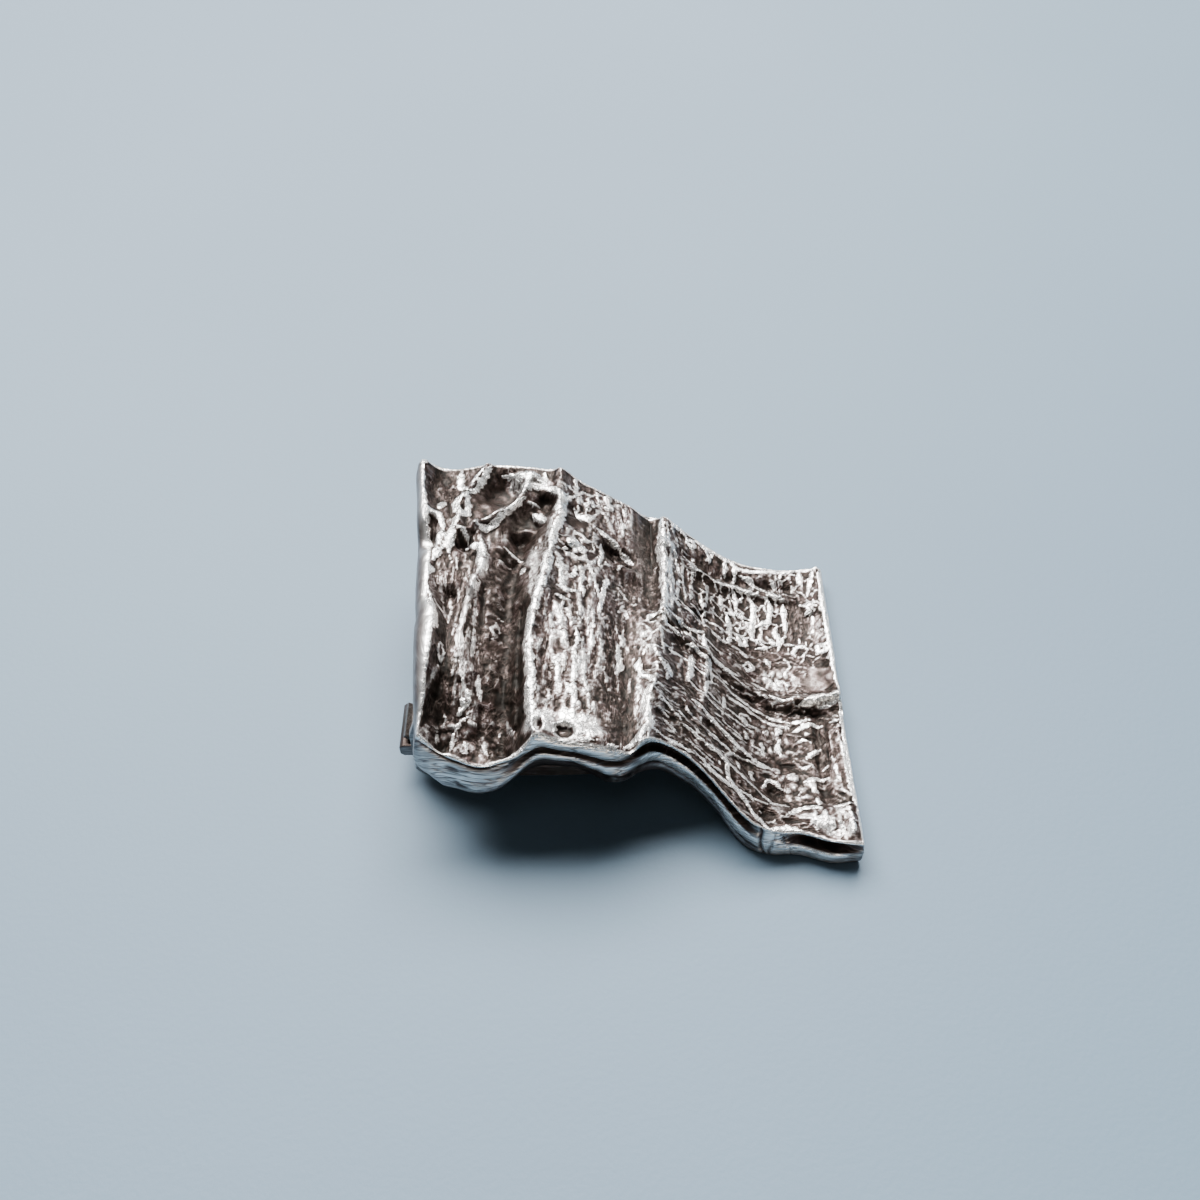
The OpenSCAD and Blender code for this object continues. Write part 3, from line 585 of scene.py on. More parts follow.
# %% Veins of the hinge side
# Half width, tone at the top, then x and y of each place along the stroke
HINGE_VEINS = [
    (0.3, 1.0, -29.75, 28.2, -29.7, 28.8),
    (0.17, 1.0, -29.85, 27.8, -29.7, 26.5, -29.5, 25.3, -29.15, 23.3, -29, 22, -29.15, 20, -29.1, 18.5),
    (0.17, 1.0, -29.1, 18.5, -28.3, 17.8, -28.6, 16.5, -28.4, 15.7, -28.1, 15.1, -27.95, 14.5, -27.65,
     13.1, -27.6, 12.5, -27.85, 11.9, -27.9, 11, -27.95, 9.3, -28.1, 7.5, -28.35, 5.3, -28.35, 4.7),
    (0.14, 0.8, -28.1, 15.1, -27.3, 14.4),
    (0.18, 1.0, -29.15, 23.4, -28.8, 23.1, -28.2, 23, -27.95, 22.4, -27.8, 21.7),
    (0.22, 0.9, -28.2, 23.9, -28.1, 24.5), (0.22, 1.0, -27, 28.5, -27, 27.5, -26.9, 26.6, -26.3, 25.9),
    (0.15, 1.0, -24.8, 29.2, -25.3, 28, -25.6, 27, -26, 26.2, -26.4, 25.8),
    (0.12, 1.0, -25.3, 28.9, -25.8, 27.9, -26.1, 27),
    (0.22, 0.95, -26.4, 25.5, -26.95, 25.1, -27.15, 24.5, -26.95, 23.8, -26.6, 23.4, -26.3, 23.8, -26.25,
     24.8, -26.4, 25.5),
    (0.25, 0.95, -26.7, 23.4, -27, 22.6, -27.1, 21.8), (0.13, 0.85, -29.1, 21, -28.7, 21.8),
    (0.3, 0.95, -27.8, 21.8, -27.8, 21, -27.9, 20, -28.2, 18.5),
    (0.24, 0.95, -27.3, 22, -27.1, 21, -27.3, 20.2, -27.2, 19.4),
    (0.2, 0.95, -27, 22, -26.4, 21.6, -26.1, 21.2, -26, 20.9),
    (0.22, 1.0, -26.2, 20.6, -25.7, 20.75, -25.3, 20.5, -25.1, 20, -25, 18.2),
    (0.26, 0.95, -25.1, 21.2, -24.75, 20, -24.8, 18.6, -25.2, 17.9), (0.12, 0.8, -27.2, 19.5, -27, 18.7),
    (0.12, 0.8, -26.7, 19.2, -26.6, 18.2),
    # crater rims and lights
    (0.18, 1.0, -22.2, 26.1, -22.9, 25.3, -23.3, 24.6, -23.9, 23.7, -24.5, 22.8, -25.2, 22.3, -25.6, 22.4),
    (0.12, 1.0, -22.7, 26.2, -23.3, 25.4, -23.7, 24.8), (0.1, 0.9, -24, 24.2, -24.7, 23.5, -25.2, 22.9),
    (0.42, 1.0, -21.3, 27.1, -21.9, 27.2, -22.3, 26.4), (0.3, 1.0, -22.2, 28.7, -21.4, 28.2, -20.8, 27.6),
    (0.25, 0.95, -24, 28.6, -22.9, 28.6), (0.24, 0.9, -22, 25.8, -21.2, 25.8),
    (0.16, 1.0, -21.65, 24.85, -20.85, 24.0), (0.2, 0.8, -21.1, 25.1, -20.9, 24.8),
    (0.2, 1.0, -23.5, 21, -22.9, 20.7, -22.2, 20.4), (0.18, 1.0, -22.2, 19.3, -22.2, 19.1),
    (0.14, 0.7, -24, 19.9, -23.4, 19.6, -23, 19.7),
]
print("veins of the hinge side:", len(HINGE_VEINS))

# %% Veins of the channels
CHANNEL_VEINS = [
    (0.42, 0.85, -25.4, 17.5, -25.4, 16.9),
    (0.2, 0.75, -25.4, 17, -25.5, 16, -25.8, 15.2, -25.95, 13, -25.8, 11, -25.6, 9.2),
    (0.32, 0.95, -25.6, 9.2, -25.4, 8.2, -25.6, 7.4, -25.8, 7),
    (0.13, 0.75, -25.2, 16.5, -25.2, 14, -25.1, 13, -25.2, 11),
    (0.16, 0.7, -25.5, 13.4, -25.5, 11.6, -25.2, 10), (0.24, 0.8, -24.65, 10, -24.7, 9.3, -24.5, 8.3),
    (0.13, 0.7, -26.2, 13.5, -26.1, 10.5, -26.3, 9.3), (0.13, 0.65, -27.6, 17.5, -27.5, 16, -27.1, 14),
    (0.12, 0.65, -27.1, 17, -26.8, 15.2, -26.9, 13.6), (0.1, 0.6, -26.5, 17.2, -26.3, 15, -26.5, 12.4),
    (0.1, 0.75, -27.1, 11.4, -26.9, 10.9, -27.1, 10.2, -27.3, 10.8, -27.1, 11.4),
    (0.12, 0.7, -27.2, 9.8, -27.4, 9, -27.8, 7.8), (0.16, 0.8, -27.1, 5.9, -27.15, 5),
    (0.2, 0.8, -26.1, 5.8, -26.2, 4.8), (0.16, 0.8, -26, 6, -25.7, 6.6, -25.3, 6.9),
    (0.13, 0.75, -26.6, 6.3, -26, 6.2), (0.12, 0.7, -26.9, 7.3, -26.6, 6.7, -26.8, 6.2),
    (0.16, 0.85, -25.4, 5.4, -25.2, 4.7), (0.22, 0.55, -23.7, 17.3, -23.5, 16.8, -23.75, 16.4),
    (0.22, 0.55, -23.75, 16.2, -23.5, 15.9), (0.15, 0.8, -23.9, 15.1, -23.4, 14.9),
    (0.13, 0.7, -23.75, 14.4, -23.5, 13.9, -23.75, 13.3, -24, 13.9, -23.75, 14.4),
    (0.11, 0.75, -24, 13.2, -23.7, 12.8, -23.3, 13.2), (0.1, 0.6, -23.9, 12.2, -23.6, 11.9, -23.3, 12.2),
    (0.09, 0.5, -23.7, 10.9, -23.5, 9.9, -23.2, 9.2), (0.09, 0.45, -23, 11.4, -22.9, 10.3),
    (0.2, 0.75, -24.1, 5.4, -24.1, 5.0), (0.13, 0.8, -23.3, 6.7, -23.2, 6.3),
    (0.13, 0.85, -23.3, 5.4, -23.2, 5.0), (0.15, 0.78, -24.9, 7.4, -24.8, 6.9),
    (0.12, 0.7, -22.8, 7.4, -22.6, 6.6, -22.2, 6),
]
print("veins of the channels:", len(CHANNEL_VEINS))

# %% Veins of the hump
HUMP_VEINS = [
    (0.24, 0.95, -21, 27.3, -20.2, 27.1, -19.6, 26.5, -19.35, 25.7, -19.4, 24, -19.95, 22.5, -20.15, 20.5),
    (0.3, 1.0, -20.15, 20.5, -20.5, 18.3, -20.8, 16.5, -21.1, 15.5, -21.3, 14.2, -21.6, 12.2, -21.3,
     10.3, -21.2, 9, -21.3, 7.3, -21, 6),
    (0.2, 0.9, -20.8, 28.8, -20.7, 27.5),
    (0.15, 0.9, -18.55, 29, -18.4, 28, -18.5, 27, -18.9, 26.3, -19.2, 26.1),
    (0.16, 0.95, -18.6, 25.8, -18.2, 25.2, -17.6, 24.9, -17, 25.6), (0.42, 0.8, -17.4, 26.9, -17.3, 26.3),
    (0.42, 0.8, -16.1, 27.8, -16, 27), (0.12, 0.8, -16.8, 28.3, -16.75, 27),
    (0.12, 0.8, -15.2, 27.8, -14.8, 27.2, -14.5, 26), (0.14, 0.85, -15.2, 26.8, -14.9, 25.5, -15, 24.3),
    (0.11, 0.8, -14.8, 25, -14.2, 24.6),
    (0.18, 1.0, -17, 24.4, -16.2, 23.9, -15.5, 23.4, -14.8, 22.8, -14.2, 22.1),
    (0.1, 0.7, -16.3, 26, -15.9, 25, -15.5, 24.3), (0.12, 0.75, -17.4, 25.9, -16.7, 26.3, -16.1, 26),
    (0.16, 0.85, -15, 21.6, -15.4, 20.8), (0.1, 0.6, -15.9, 22.6, -15.4, 22.2),
    (0.36, 1.0, -18.6, 21.9, -18.2, 21.7),
    (0.12, 0.9, -18.6, 22.7, -18.4, 23.1, -18, 23.1, -17.8, 22.7, -18.1, 22.4),
    (0.12, 0.9, -17.5, 20.5, -17, 18.8, -16.6, 17), (0.12, 0.9, -16.6, 23, -16.5, 22, -16.7, 20.5),
    (0.1, 0.8, -16, 20.8, -15.8, 20.3), (0.12, 0.9, -16.1, 19.6, -16.4, 18.2, -16.7, 16),
    (0.13, 0.9, -19.5, 20, -19.4, 18.5, -19.3, 17.5), (0.13, 0.95, -18.4, 19.7, -18.4, 19, -18.9, 18.3),
    (0.14, 0.95, -17.8, 19.3, -18, 18, -17.8, 17), (0.22, 1.0, -19.6, 17.4, -18.9, 17.2, -18.2, 17.3),
    (0.2, 1.0, -19.7, 16.5, -18.8, 16.3), (0.1, 0.8, -15.4, 19.3, -14.7, 18.4, -14.3, 18),
    (0.1, 0.8, -14.9, 17.5, -14.7, 16.5), (0.1, 0.75, -14.7, 18.4, -15.1, 17.4, -15.4, 16.8),
    (0.09, 0.7, -14.3, 18, -13.7, 18.3), (0.16, 0.9, -19.2, 16, -19.4, 15.2, -19.2, 14.4),
    (0.12, 1.0, -18.3, 14, -18.1, 13, -18.4, 12.2), (0.14, 0.85, -17.1, 16, -17.2, 14, -17.1, 12.5),
    (0.12, 0.95, -19.6, 11.2, -19.4, 10.4, -19.5, 9.4), (0.12, 1.0, -18.8, 9.4, -18.7, 8.9, -18.3, 8.2),
    (0.2, 0.95, -15.4, 13.8, -15.3, 12, -15.5, 11.2), (0.26, 0.7, -15.1, 14.5, -15.1, 14.1),
    (0.1, 0.7, -16.4, 12.6, -16.3, 11, -16.1, 9.4), (0.09, 0.6, -14.6, 11, -14.8, 9.4, -15.2, 8),
    (0.09, 0.65, -16.1, 15.9, -15.9, 15.3, -16.3, 15, -16.5, 15.5, -16.1, 15.9),
    # flat lip and the rim of its pit
    (0.1, 1.0, -20.75, 5.3, -20.8, 6.1, -20.5, 6.7, -20.15, 6.2, -20.15, 5.3),
    (0.12, 1.0, -19.6, 5.2, -19.5, 6, -18.9, 6.25, -18.2, 6, -18.1, 5.3),
    (0.12, 1.0, -18.2, 4.9, -17.4, 4.95, -16.8, 5), (0.15, 0.95, -16.2, 4.75, -15.5, 4.85),
]
print("veins of the hump:", len(HUMP_VEINS))

# %% Veins of the second ridge and the slope
RIDGE_VEINS = [
    (0.27, 1.0, -11.9, 27.4, -11.95, 25, -12.1, 24.2, -11.9, 22.7, -12, 20.5, -11.9, 18.5, -12.3, 17.5),
    (0.16, 0.9, -12.4, 17.3, -12.1, 17, -11.9, 16.2), (0.12, 0.8, -11.2, 26.6, -11, 26.2),
    (0.12, 0.85, -10.8, 26, -10.7, 25), (0.16, 0.85, -11, 22.3, -10.8, 21.7, -11, 20, -10.8, 18.4),
    (0.13, 0.75, -11.4, 21, -11.1, 19.3), (0.13, 0.9, -12.4, 17.3, -13.1, 17, -13.3, 16.5),
    (0.1, 0.9, -11.5, 26.6, -11.3, 24, -11.4, 22.6, -11.2, 20.8),
    (0.09, 0.9, -11.15, 25.4, -10.95, 23.6, -10.75, 22.4),
    (0.09, 0.9, -11.6, 22.2, -11.4, 19.8, -11.5, 18.2),
    (0.08, 0.88, -10.5, 24.6, -10.4, 22.8, -10.5, 21.4, -10.2, 19.6),
    (0.09, 0.88, -11.1, 19.2, -10.8, 17.6, -10.3, 16.6), (0.14, 0.8, -13.4, 16, -13, 15.4, -13.2, 14.6),
    (0.16, 0.85, -12.4, 15.8, -12.2, 15, -12.4, 14.2), (0.13, 0.8, -13.8, 14.6, -13.4, 13.9, -13.7, 13.2),
    (0.2, 1.0, -13.9, 12.8, -14, 12, -13.8, 11.3, -13.3, 11.2, -12.9, 10.4),
    (0.24, 1.0, -12.9, 10.4, -13.5, 9.7, -13.7, 9, -13.5, 7.5, -13.4, 6.8, -14, 6, -15.1, 4.9),
    (0.28, 0.9, -12.7, 13.2, -12.2, 12.5, -11.9, 11.9, -12.1, 11.3),
    (0.1, 0.9, -12.6, 9.5, -11.9, 8.9, -11.2, 8.2), (0.1, 0.9, -13.1, 8.7, -12, 8.1),
    (0.1, 0.9, -12.5, 7.9, -11.6, 7.2), (0.13, 1.0, -13.4, 6.8, -12.5, 6.4, -11.5, 6.2, -10.5, 5.9),
    (0.1, 0.8, -11.5, 10.6, -10.9, 10, -10.6, 9.2), (0.12, 0.85, -11.4, 9, -10.7, 8.3, -10.2, 8),
    # far edge of the slope
    (0.15, 0.95, -12, 27.6, -11.3, 27.4, -11, 27, -10.4, 27.1, -10.1, 26.7, -9.9, 26.4, -9.1, 26.5, -8.5,
     26.2, -7.7, 26, -6.8, 25.6, -6.2, 25.4, -5.9, 25, -5, 24.9, -3.7, 25, -2.4, 25.1, -1, 25.5, 0.3, 25.5),
    (0.15, 0.9, -9.95, 26.1, -9.6, 26.45, -9.3, 26.1, -9.6, 25.75, -9.95, 26.1),
    (0.12, 0.85, -9.55, 25.5, -9.55, 24.4), (0.14, 0.9, -8.5, 26, -8.2, 25.4, -8.5, 24.9),
    (0.14, 0.9, -7.8, 26, -8.2, 25.4, -8.2, 24.8), (0.18, 0.9, -6.9, 25.5, -7, 24.8, -7, 24.1),
    (0.16, 0.9, -6.6, 25.5, -6.2, 25.2, -6.2, 24.3, -6.4, 23.4),
    (0.16, 1.0, -10.2, 24.6, -9.6, 24.2, -9, 23.7, -8.4, 23.3, -7.9, 22.9, -6.6, 22.95, -5.9, 22.7, -4.4,
     22.4),
    (0.15, 0.95, -5.9, 24.4, -5.1, 24.2, -4.7, 23.7, -4.2, 23.2, -3.6, 22.6),
    (0.14, 0.85, -4.4, 24.4, -3.8, 24.8, -3.4, 24.6, -3.1, 23.5), (0.13, 0.85, -2.55, 25.1, -2.75, 23.2),
    (0.16, 0.9, -1, 25.4, -1.15, 24.3, -0.95, 23.8), (0.14, 0.9, -0.1, 25.2, -0.3, 24.2, -0.55, 23.2),
    (0.18, 1.0, 0.45, 25.3, 0.4, 20.5, 0.45, 18, 0.6, 15.3, 0.7, 14),
    (0.18, 1.0, 0.7, 13, 0.6, 11, 0.55, 4), (0.36, 1.0, -0.65, 21.9, -0.65, 21.4),
    (0.14, 0.9, 0.1, 21.5, 0.25, 21.1), (0.13, 0.85, -0.45, 21, -0.6, 19.3),
    (0.18, 0.95, -3.9, 22.5, -3.2, 22.4, -2.6, 22.3),
]
print("veins of ridge and slope:", len(RIDGE_VEINS))

# %% Veins of the net
NET_VEINS = [
    (0.14, 0.9, -7.5, 22, -7.55, 20.5), (0.15, 0.95, -6.6, 22.7, -6.2, 21.8, -6.3, 20.7),
    (0.21, 1.0, -5.2, 22.1, -4.9, 21.5, -5.1, 20, -5.3, 19.2, -5.2, 18.5),
    (0.21, 1.0, -3.9, 22.3, -3.6, 21.5, -3.9, 20.2, -4.8, 19.7), (0.17, 0.95, -2.65, 21.9, -2.65, 19.3),
    (0.16, 0.9, -2.8, 19, -3.4, 17.6), (0.17, 0.95, -7.2, 20.4, -6.3, 20.6, -5.3, 20.2),
    (0.15, 0.9, -7.1, 20.3, -6.95, 18.5, -7.2, 17.4), (0.15, 0.9, -6.5, 19.2, -5.7, 19.4),
    (0.13, 0.9, -6.4, 18.6, -5.8, 18.4, -5.8, 17.8, -6.2, 17.8, -6.4, 18.6),
    (0.16, 0.95, -5.4, 18.5, -4.6, 18), (0.16, 0.95, -4.2, 18.8, -3.5, 18.1, -3.2, 18.5, -3.5, 19.6),
    (0.14, 0.9, -5.1, 17.6, -3.9, 17.9),
    (0.15, 0.95, -2.1, 17.1, -2.3, 17.4, -2, 17.9, -1.5, 18.1, -1.1, 17.8),
    (0.13, 0.85, -1.7, 18.8, -1.6, 18.1), (0.3, 1.0, -0.2, 17.9, 0, 17.5),
    (0.18, 0.9, -4.4, 16.8, -4.1, 16.1),
    (0.14, 0.95, -5.8, 16.15, -5.45, 15.8, -5.8, 15.4, -6.15, 15.8, -5.8, 16.15),
    (0.14, 0.85, -7.1, 16.5, -7.2, 15.4), (0.12, 0.8, -6.3, 17, -5.6, 16.6),
    (0.12, 0.75, -3, 16.9, -2.6, 16.2, -2.9, 15.6),
    (0.1, 0.85, -9.3, 21.2, -9.1, 20.1, -8.9, 19.7, -9.05, 18),
    (0.12, 0.9, -9.1, 17.2, -9.1, 16.2, -8.5, 15, -7.9, 14.6),
    (0.12, 0.85, -8.5, 22.6, -8.7, 20.5, -9, 19.9), (0.12, 0.8, -9.5, 24, -9.8, 22, -9.95, 20.2),
    (0.1, 0.85, -10.6, 18.2, -9.8, 17.2, -9.1, 17.4), (0.1, 0.85, -11.3, 17.9, -10.5, 17.1, -9.8, 15.9),
    (0.12, 0.9, -12, 16.6, -10.9, 15.95), (0.14, 1.0, -10.5, 15.4, -10, 15.5, -9, 14.8, -8.75, 13.7),
    (0.13, 1.0, -9, 15.6, -7.6, 14.6, -6.5, 14.5), (0.12, 0.9, -5.7, 14.4, -4.6, 13.9),
    (0.12, 0.85, -4.3, 14.9, -3.8, 14.5, -3.3, 14.9, -2.9, 14.5),
    (0.11, 0.85, -4.1, 14.3, -3.4, 14.1, -2.8, 14.2), (0.18, 0.95, -10.1, 14.8, -10.3, 12.8, -10.6, 12),
    (0.13, 0.92, -8.8, 14.9, -8.75, 13.8, -8.8, 12.9, -9.2, 12.3, -9.35, 11.2),
    (0.13, 0.85, -7.9, 12.4, -8, 10.6, -8.2, 10.2), (0.1, 0.7, -10.8, 14.2, -11.2, 13, -11.1, 12),
]
print("veins of the net:", len(NET_VEINS))

# %% Veins of the low end
LOW_VEINS = [
    (0.1, 1.0, -8.3, 13.8, -7.3, 12.8, -5.9, 12.1, -4.5, 11.5, -3, 11.2, -1.6, 11.5),
    (0.09, 0.9, -7.7, 12.3, -6.2, 11.8, -4.6, 11, -3.2, 10.8),
    (0.11, 0.9, -4.4, 13.3, -3.6, 13, -2.8, 12.9), (0.2, 1.0, -2.6, 12.5, -1.4, 12.8, 0.4, 13.1),
    (0.16, 1.0, 0.4, 13.1, 0.7, 12.5, 0.5, 11.9), (0.14, 1.0, -2.9, 10.45, -1.7, 11.1, -0.8, 10.9),
    (0.12, 0.9, -0.3, 11.1, 0.3, 11.1), (0.22, 0.8, -6.5, 10.7, -6.4, 10.4),
    (0.22, 0.78, -6.5, 9.5, -6.4, 9.2), (0.16, 0.8, -5.4, 9, -5.3, 8.8), (0.18, 0.9, -4.05, 10.5, -4, 10.3),
    (0.2, 1.0, -4, 9.7, -4.2, 8.9, -4, 8.3), (0.1, 0.8, -6.9, 10.6, -6.7, 11.1, -6.2, 11.2, -5.9, 10.8),
    (0.12, 1.0, -10.3, 10.5, -9.6, 10, -8.4, 9, -7.2, 8.1, -6, 7.4, -4.3, 6.8),
    (0.12, 0.85, -7.3, 8, -8.2, 6.7), (0.09, 0.88, -9.7, 9.4, -10.05, 8.2, -10.25, 7),
    (0.09, 1.0, -10.4, 7.5, -9.2, 6.8, -8.2, 6.2, -7, 5.4, -6.1, 4.8, -5.1, 4, -4, 3.9),
    (0.13, 1.0, -8.2, 6.8, -8.1, 5, -7.2, 3.8, -6.3, 2.5, -5.5, 1.8), (0.09, 0.9, -10, 5.4, -7.8, 4.3),
    (0.09, 0.85, -9.9, 5.8, -8.2, 5.1), (0.09, 0.85, -9.2, 6.1, -8.5, 5.9),
    (0.2, 0.78, -6.4, 6.3, -6.3, 5.9), (0.12, 0.9, -5.7, 5.3, -5.2, 6, -4.6, 5.9, -4.3, 5.4),
    (0.26, 0.78, -2.1, 5.8, -2, 5.4), (0.2, 0.85, -2, 4.5, -1.9, 4.3), (0.26, 0.75, -3.5, 6.5, -3.2, 6.3),
    (0.2, 0.78, -4.7, 7, -4.4, 6.8), (0.2, 0.95, -2.7, 6.1, -2, 6.4, -0.9, 6.4),
    (0.2, 0.85, -2.3, 8.1, -1.2, 9), (0.1, 0.8, -0.5, 8.2, -0.2, 5.2), (0.12, 0.9, 0.35, 9, 0.35, 4.7),
    (0.12, 0.85, -3, 9.3, -2.3, 9.8, -1.7, 9.4), (0.12, 0.8, -3.2, 7.9, -2.6, 7.3, -1.8, 7.4),
    (0.14, 1.0, -4.3, 3, -3.6, 3.5, -2.9, 3.8, -2, 3.8, -1.6, 3.5), (0.13, 1.0, -0.9, 3.9, 0.4, 4.1),
    (0.16, 1.0, -5.8, 1.6, -5.1, 1.9, -4.3, 2.05, -3.5, 1.9, -2.6, 1.2), (0.12, 0.8, -6.7, 4.2, -6, 3),
    (0.14, 0.85, -5.1, 7.9, -5.6, 8.4, -5.2, 8.7), (0.16, 0.85, -7.4, 9.6, -7.2, 10.2),
    (0.14, 0.8, -3, 5.2, -3.3, 4.7), (0.12, 0.8, -0.8, 7.6, -1.2, 7.2), (0.14, 0.85, -7.2, 6.1, -7.4, 7),
    (0.12, 0.8, -4.9, 10.3, -5.3, 9.9),
]
print("veins of the low end:", len(LOW_VEINS))

# %% Cuts
# Half width, depth, then x and y of each place
CUTS = [
    (0.16, 0.3, -27.5, 26.5, -27.5, 23), (0.3, 0.35, -28.5, 22.7, -28.4, 22.3),
    (0.22, 0.35, -28.5, 21.6, -28.6, 20), (0.28, 0.12, -26.5, 21.2, -26.4, 20.9),
    (0.28, 0.3, -25.5, 19.9, -25.6, 19.6), (0.22, 0.3, -24.7, 17, -24.7, 13),
    (0.26, 0.35, -22, 16, -22, 10, -21.9, 5.6), (0.26, 0.3, -27.3, 11.5, -27.1, 9, -27.6, 7, -28, 5.5),
    (0.22, 0.3, -24.5, 6.5, -24.4, 6.3), (0.18, 0.3, -24.4, 7.8, -24.4, 7.4),
    (0.2, 0.25, -19.8, 28.7, -19.7, 28.2), (0.18, 0.25, -18.1, 26.1, -18, 25.9),
    (0.3, 0.3, -15.9, 23.1, -15.8, 22.9), (0.45, 0.35, -15.7, 22, -15.5, 21.7),
    (0.35, 0.3, -14.7, 21.9, -14.5, 21.7), (0.16, 0.35, -20.45, 6.2, -20.45, 5.4),
    (0.1, 0.25, -12.75, 27.4, -12.75, 24, -12.8, 21.5), (0.07, 0.25, -15.15, 7.5, -15.15, 4.7),
    (0.3, 0.22, -9.2, 22.6, -9.2, 22), (0.35, 0.22, -9.6, 19.2, -9.6, 18.8),
    (0.28, 0.22, -8.5, 19.2, -8.5, 18), (0.4, 0.24, -11.1, 17, -10.8, 16.8),
    (0.28, 0.22, -11.2, 15.5, -10.8, 15.4), (0.12, 0.12, -9.8, 15.6, -8, 14.45, -6.8, 13.5, -5.4, 12.7),
    (0.15, 0.2, -4.5, 24, -3.5, 23.3, -2.5, 22.7, -1.5, 22.5), (0.16, 0.2, -8, 14.1, -7.2, 13.7),
    (0.16, 0.25, -2.5, 12.05, -0.6, 12, -0.2, 11.7), (0.14, 0.25, -0.7, 11.5, -0.7, 7.2),
    (0.14, 0.22, -4.8, 12.45, -3.4, 12.35), (0.1, 0.2, -0.8, 13.6, 0.4, 14.4),
    (0.35, 0.25, -10.95, 9.3, -10.8, 9.1), (0.3, 0.22, -8.2, 9.4, -7.8, 9.4),
    (0.22, 0.2, -6.4, 8.9, -6.3, 8.7), (0.22, 0.2, -9.3, 9.2, -9.2, 9), (0.42, 0.28, -7.3, 6.9, -6.9, 6.9),
    (0.22, 0.2, -8.3, 7.5, -8.2, 7.4), (0.45, 0.3, -5, 5, -4.5, 5), (0.42, 0.28, -5.8, 3.1, -5.4, 2.9),
    (0.3, 0.22, -4.1, 7.5, -3, 7.5), (0.25, 0.2, -2, 9.8, -1.8, 9.8), (0.13, 0.25, -2.2, 3, -1.3, 4),
    (0.2, 0.2, -12.2, 9.2, -12.2, 9), (0.2, 0.25, -4.3, 1.65, -3.6, 1.6),
]
print("cuts:", len(CUTS))

# %% [markdown]
# Lines of the slope
# The finest lines fall down the slope side by side. They follow the rule of its flow pattern, so they
# are drawn by chance with a fixed seed: each has its own level, start, length, fall and width.

# %% Lines of the slope
FLOW_LINES, FLOW_PLACES = 19, 7
LEVELS, LEVEL_JITTER, STEP_JITTER = (4.5, 20.5), 0.45, 0.16
chance = np.random.default_rng(7)
flow_veins = []
for level in np.linspace(*LEVELS, FLOW_LINES) + chance.uniform(-LEVEL_JITTER, LEVEL_JITTER, FLOW_LINES):
    start, length = chance.uniform(-12, -9), chance.uniform(2, 5.5)
    xs = np.linspace(start, start + length, FLOW_PLACES)
    ys = level - chance.uniform(0.85, 1.2) * fall(xs)
    ys += np.cumsum(chance.uniform(-STEP_JITTER, STEP_JITTER, FLOW_PLACES))
    places = np.stack([xs, ys], 1).ravel().tolist()
    flow_veins.append((chance.uniform(0.045, 0.08), chance.choice([0.85, 0.95]), *places))

veins = flow_veins + HINGE_VEINS + CHANNEL_VEINS + HUMP_VEINS + RIDGE_VEINS + NET_VEINS + LOW_VEINS
print("lines of the slope:", len(flow_veins), "veins in all:", len(veins))

# %% [markdown]
# From strokes to relief
# Every stroke has a flat top and soft flanks, as a thread of wax has once it's pressed on. Its width
# swells and shrinks with a noise. Where strokes cross, the highest one is kept.

# %% Lay the strokes
# How far the flank of a stroke runs out, in half widths
REACH = 1.7
NARROWEST, WIDEST = 0.35, 1.7

def distance_to_line(x, y, line):
    """Distance from places to a bent line and, along it, to its nearer end, with the line's length."""
    best, reached, length = np.full(x.shape, 1e9), np.zeros(x.shape), 0.0
    for (ax, ay), (bx, by) in zip(line, line[1:]):
        dx, dy = bx - ax, by - ay
        step = math.hypot(dx, dy)
        t = np.clip(((x - ax) * dx + (y - ay) * dy) / max(step * step, 1e-9), 0, 1)
        d = np.hypot(x - ax - t * dx, y - ay - t * dy)
        reached = np.where(d < best, length + t * step, reached)
        best = np.minimum(best, d)
        length += step
    return best, np.minimum(reached, length - reached), length

def lay(strokes):
    """For each place, the profile of the strongest stroke there, its half width and its third value."""
    profile, width, value = (np.zeros(face_x.shape) for _ in range(3))
    slow, quick = noise(face_x / 0.55, face_y / 0.55, 2), noise(face_x / 0.22, face_y / 0.22, 3)
    for half, top, *places in strokes:
        xs, ys = places[0::2], places[1::2]
        line = list(zip(xs, ys))
        half *= 0.8 if top < 0.9 else 1.0
        margin = REACH * WIDEST * half
        near = ((face_x > min(xs) - margin) & (face_x < max(xs) + margin)
                & (face_y > min(ys) - margin) & (face_y < max(ys) + margin))
        d, to_end, length = distance_to_line(face_x[near], face_y[near], line)
        # Thin strokes and knots are the most uneven, and long open strokes end in points
        uneven = max(1 - float(ease((half - 0.12) / 0.1)), float(length < 2 * half))
        swell = 0.92 + (0.3 + 0.15 * uneven) * slow[near] + (0.16 + 0.24 * uneven) * quick[near]
        swell = np.clip(swell, NARROWEST, 1.6)
        if line[0] != line[-1] and length > 3 * half:
            swell *= 0.3 + 0.7 * ease(to_end / (3.5 * half))
        p = ease(1.6 * (1 - d / (half * swell) / REACH))
        higher = p * (half + 0.2) > profile[near] * (width[near] + 0.2)
        for field, new in ((profile, p), (width, half), (value, top)):
            field[near] = np.where(higher, new, field[near])
    return profile, width, value

vein, vein_width, stroke_top = lay(veins)
cut, _, cut_depth = lay(CUTS)
# Dimmer strokes are dimmed further, and wide ones get dark flecks
fleck = ease((rough_noise(face_x / 0.22, face_y / 0.3, 2) - 0.22) / 0.3) * ease((vein_width - 0.2) / 0.08)
vein_tone = 1.08 - 1.7 * (1 - stroke_top) - 0.5 * fleck
print("share of the face under veins:", round(float((vein > 0.5).mean()), 2))

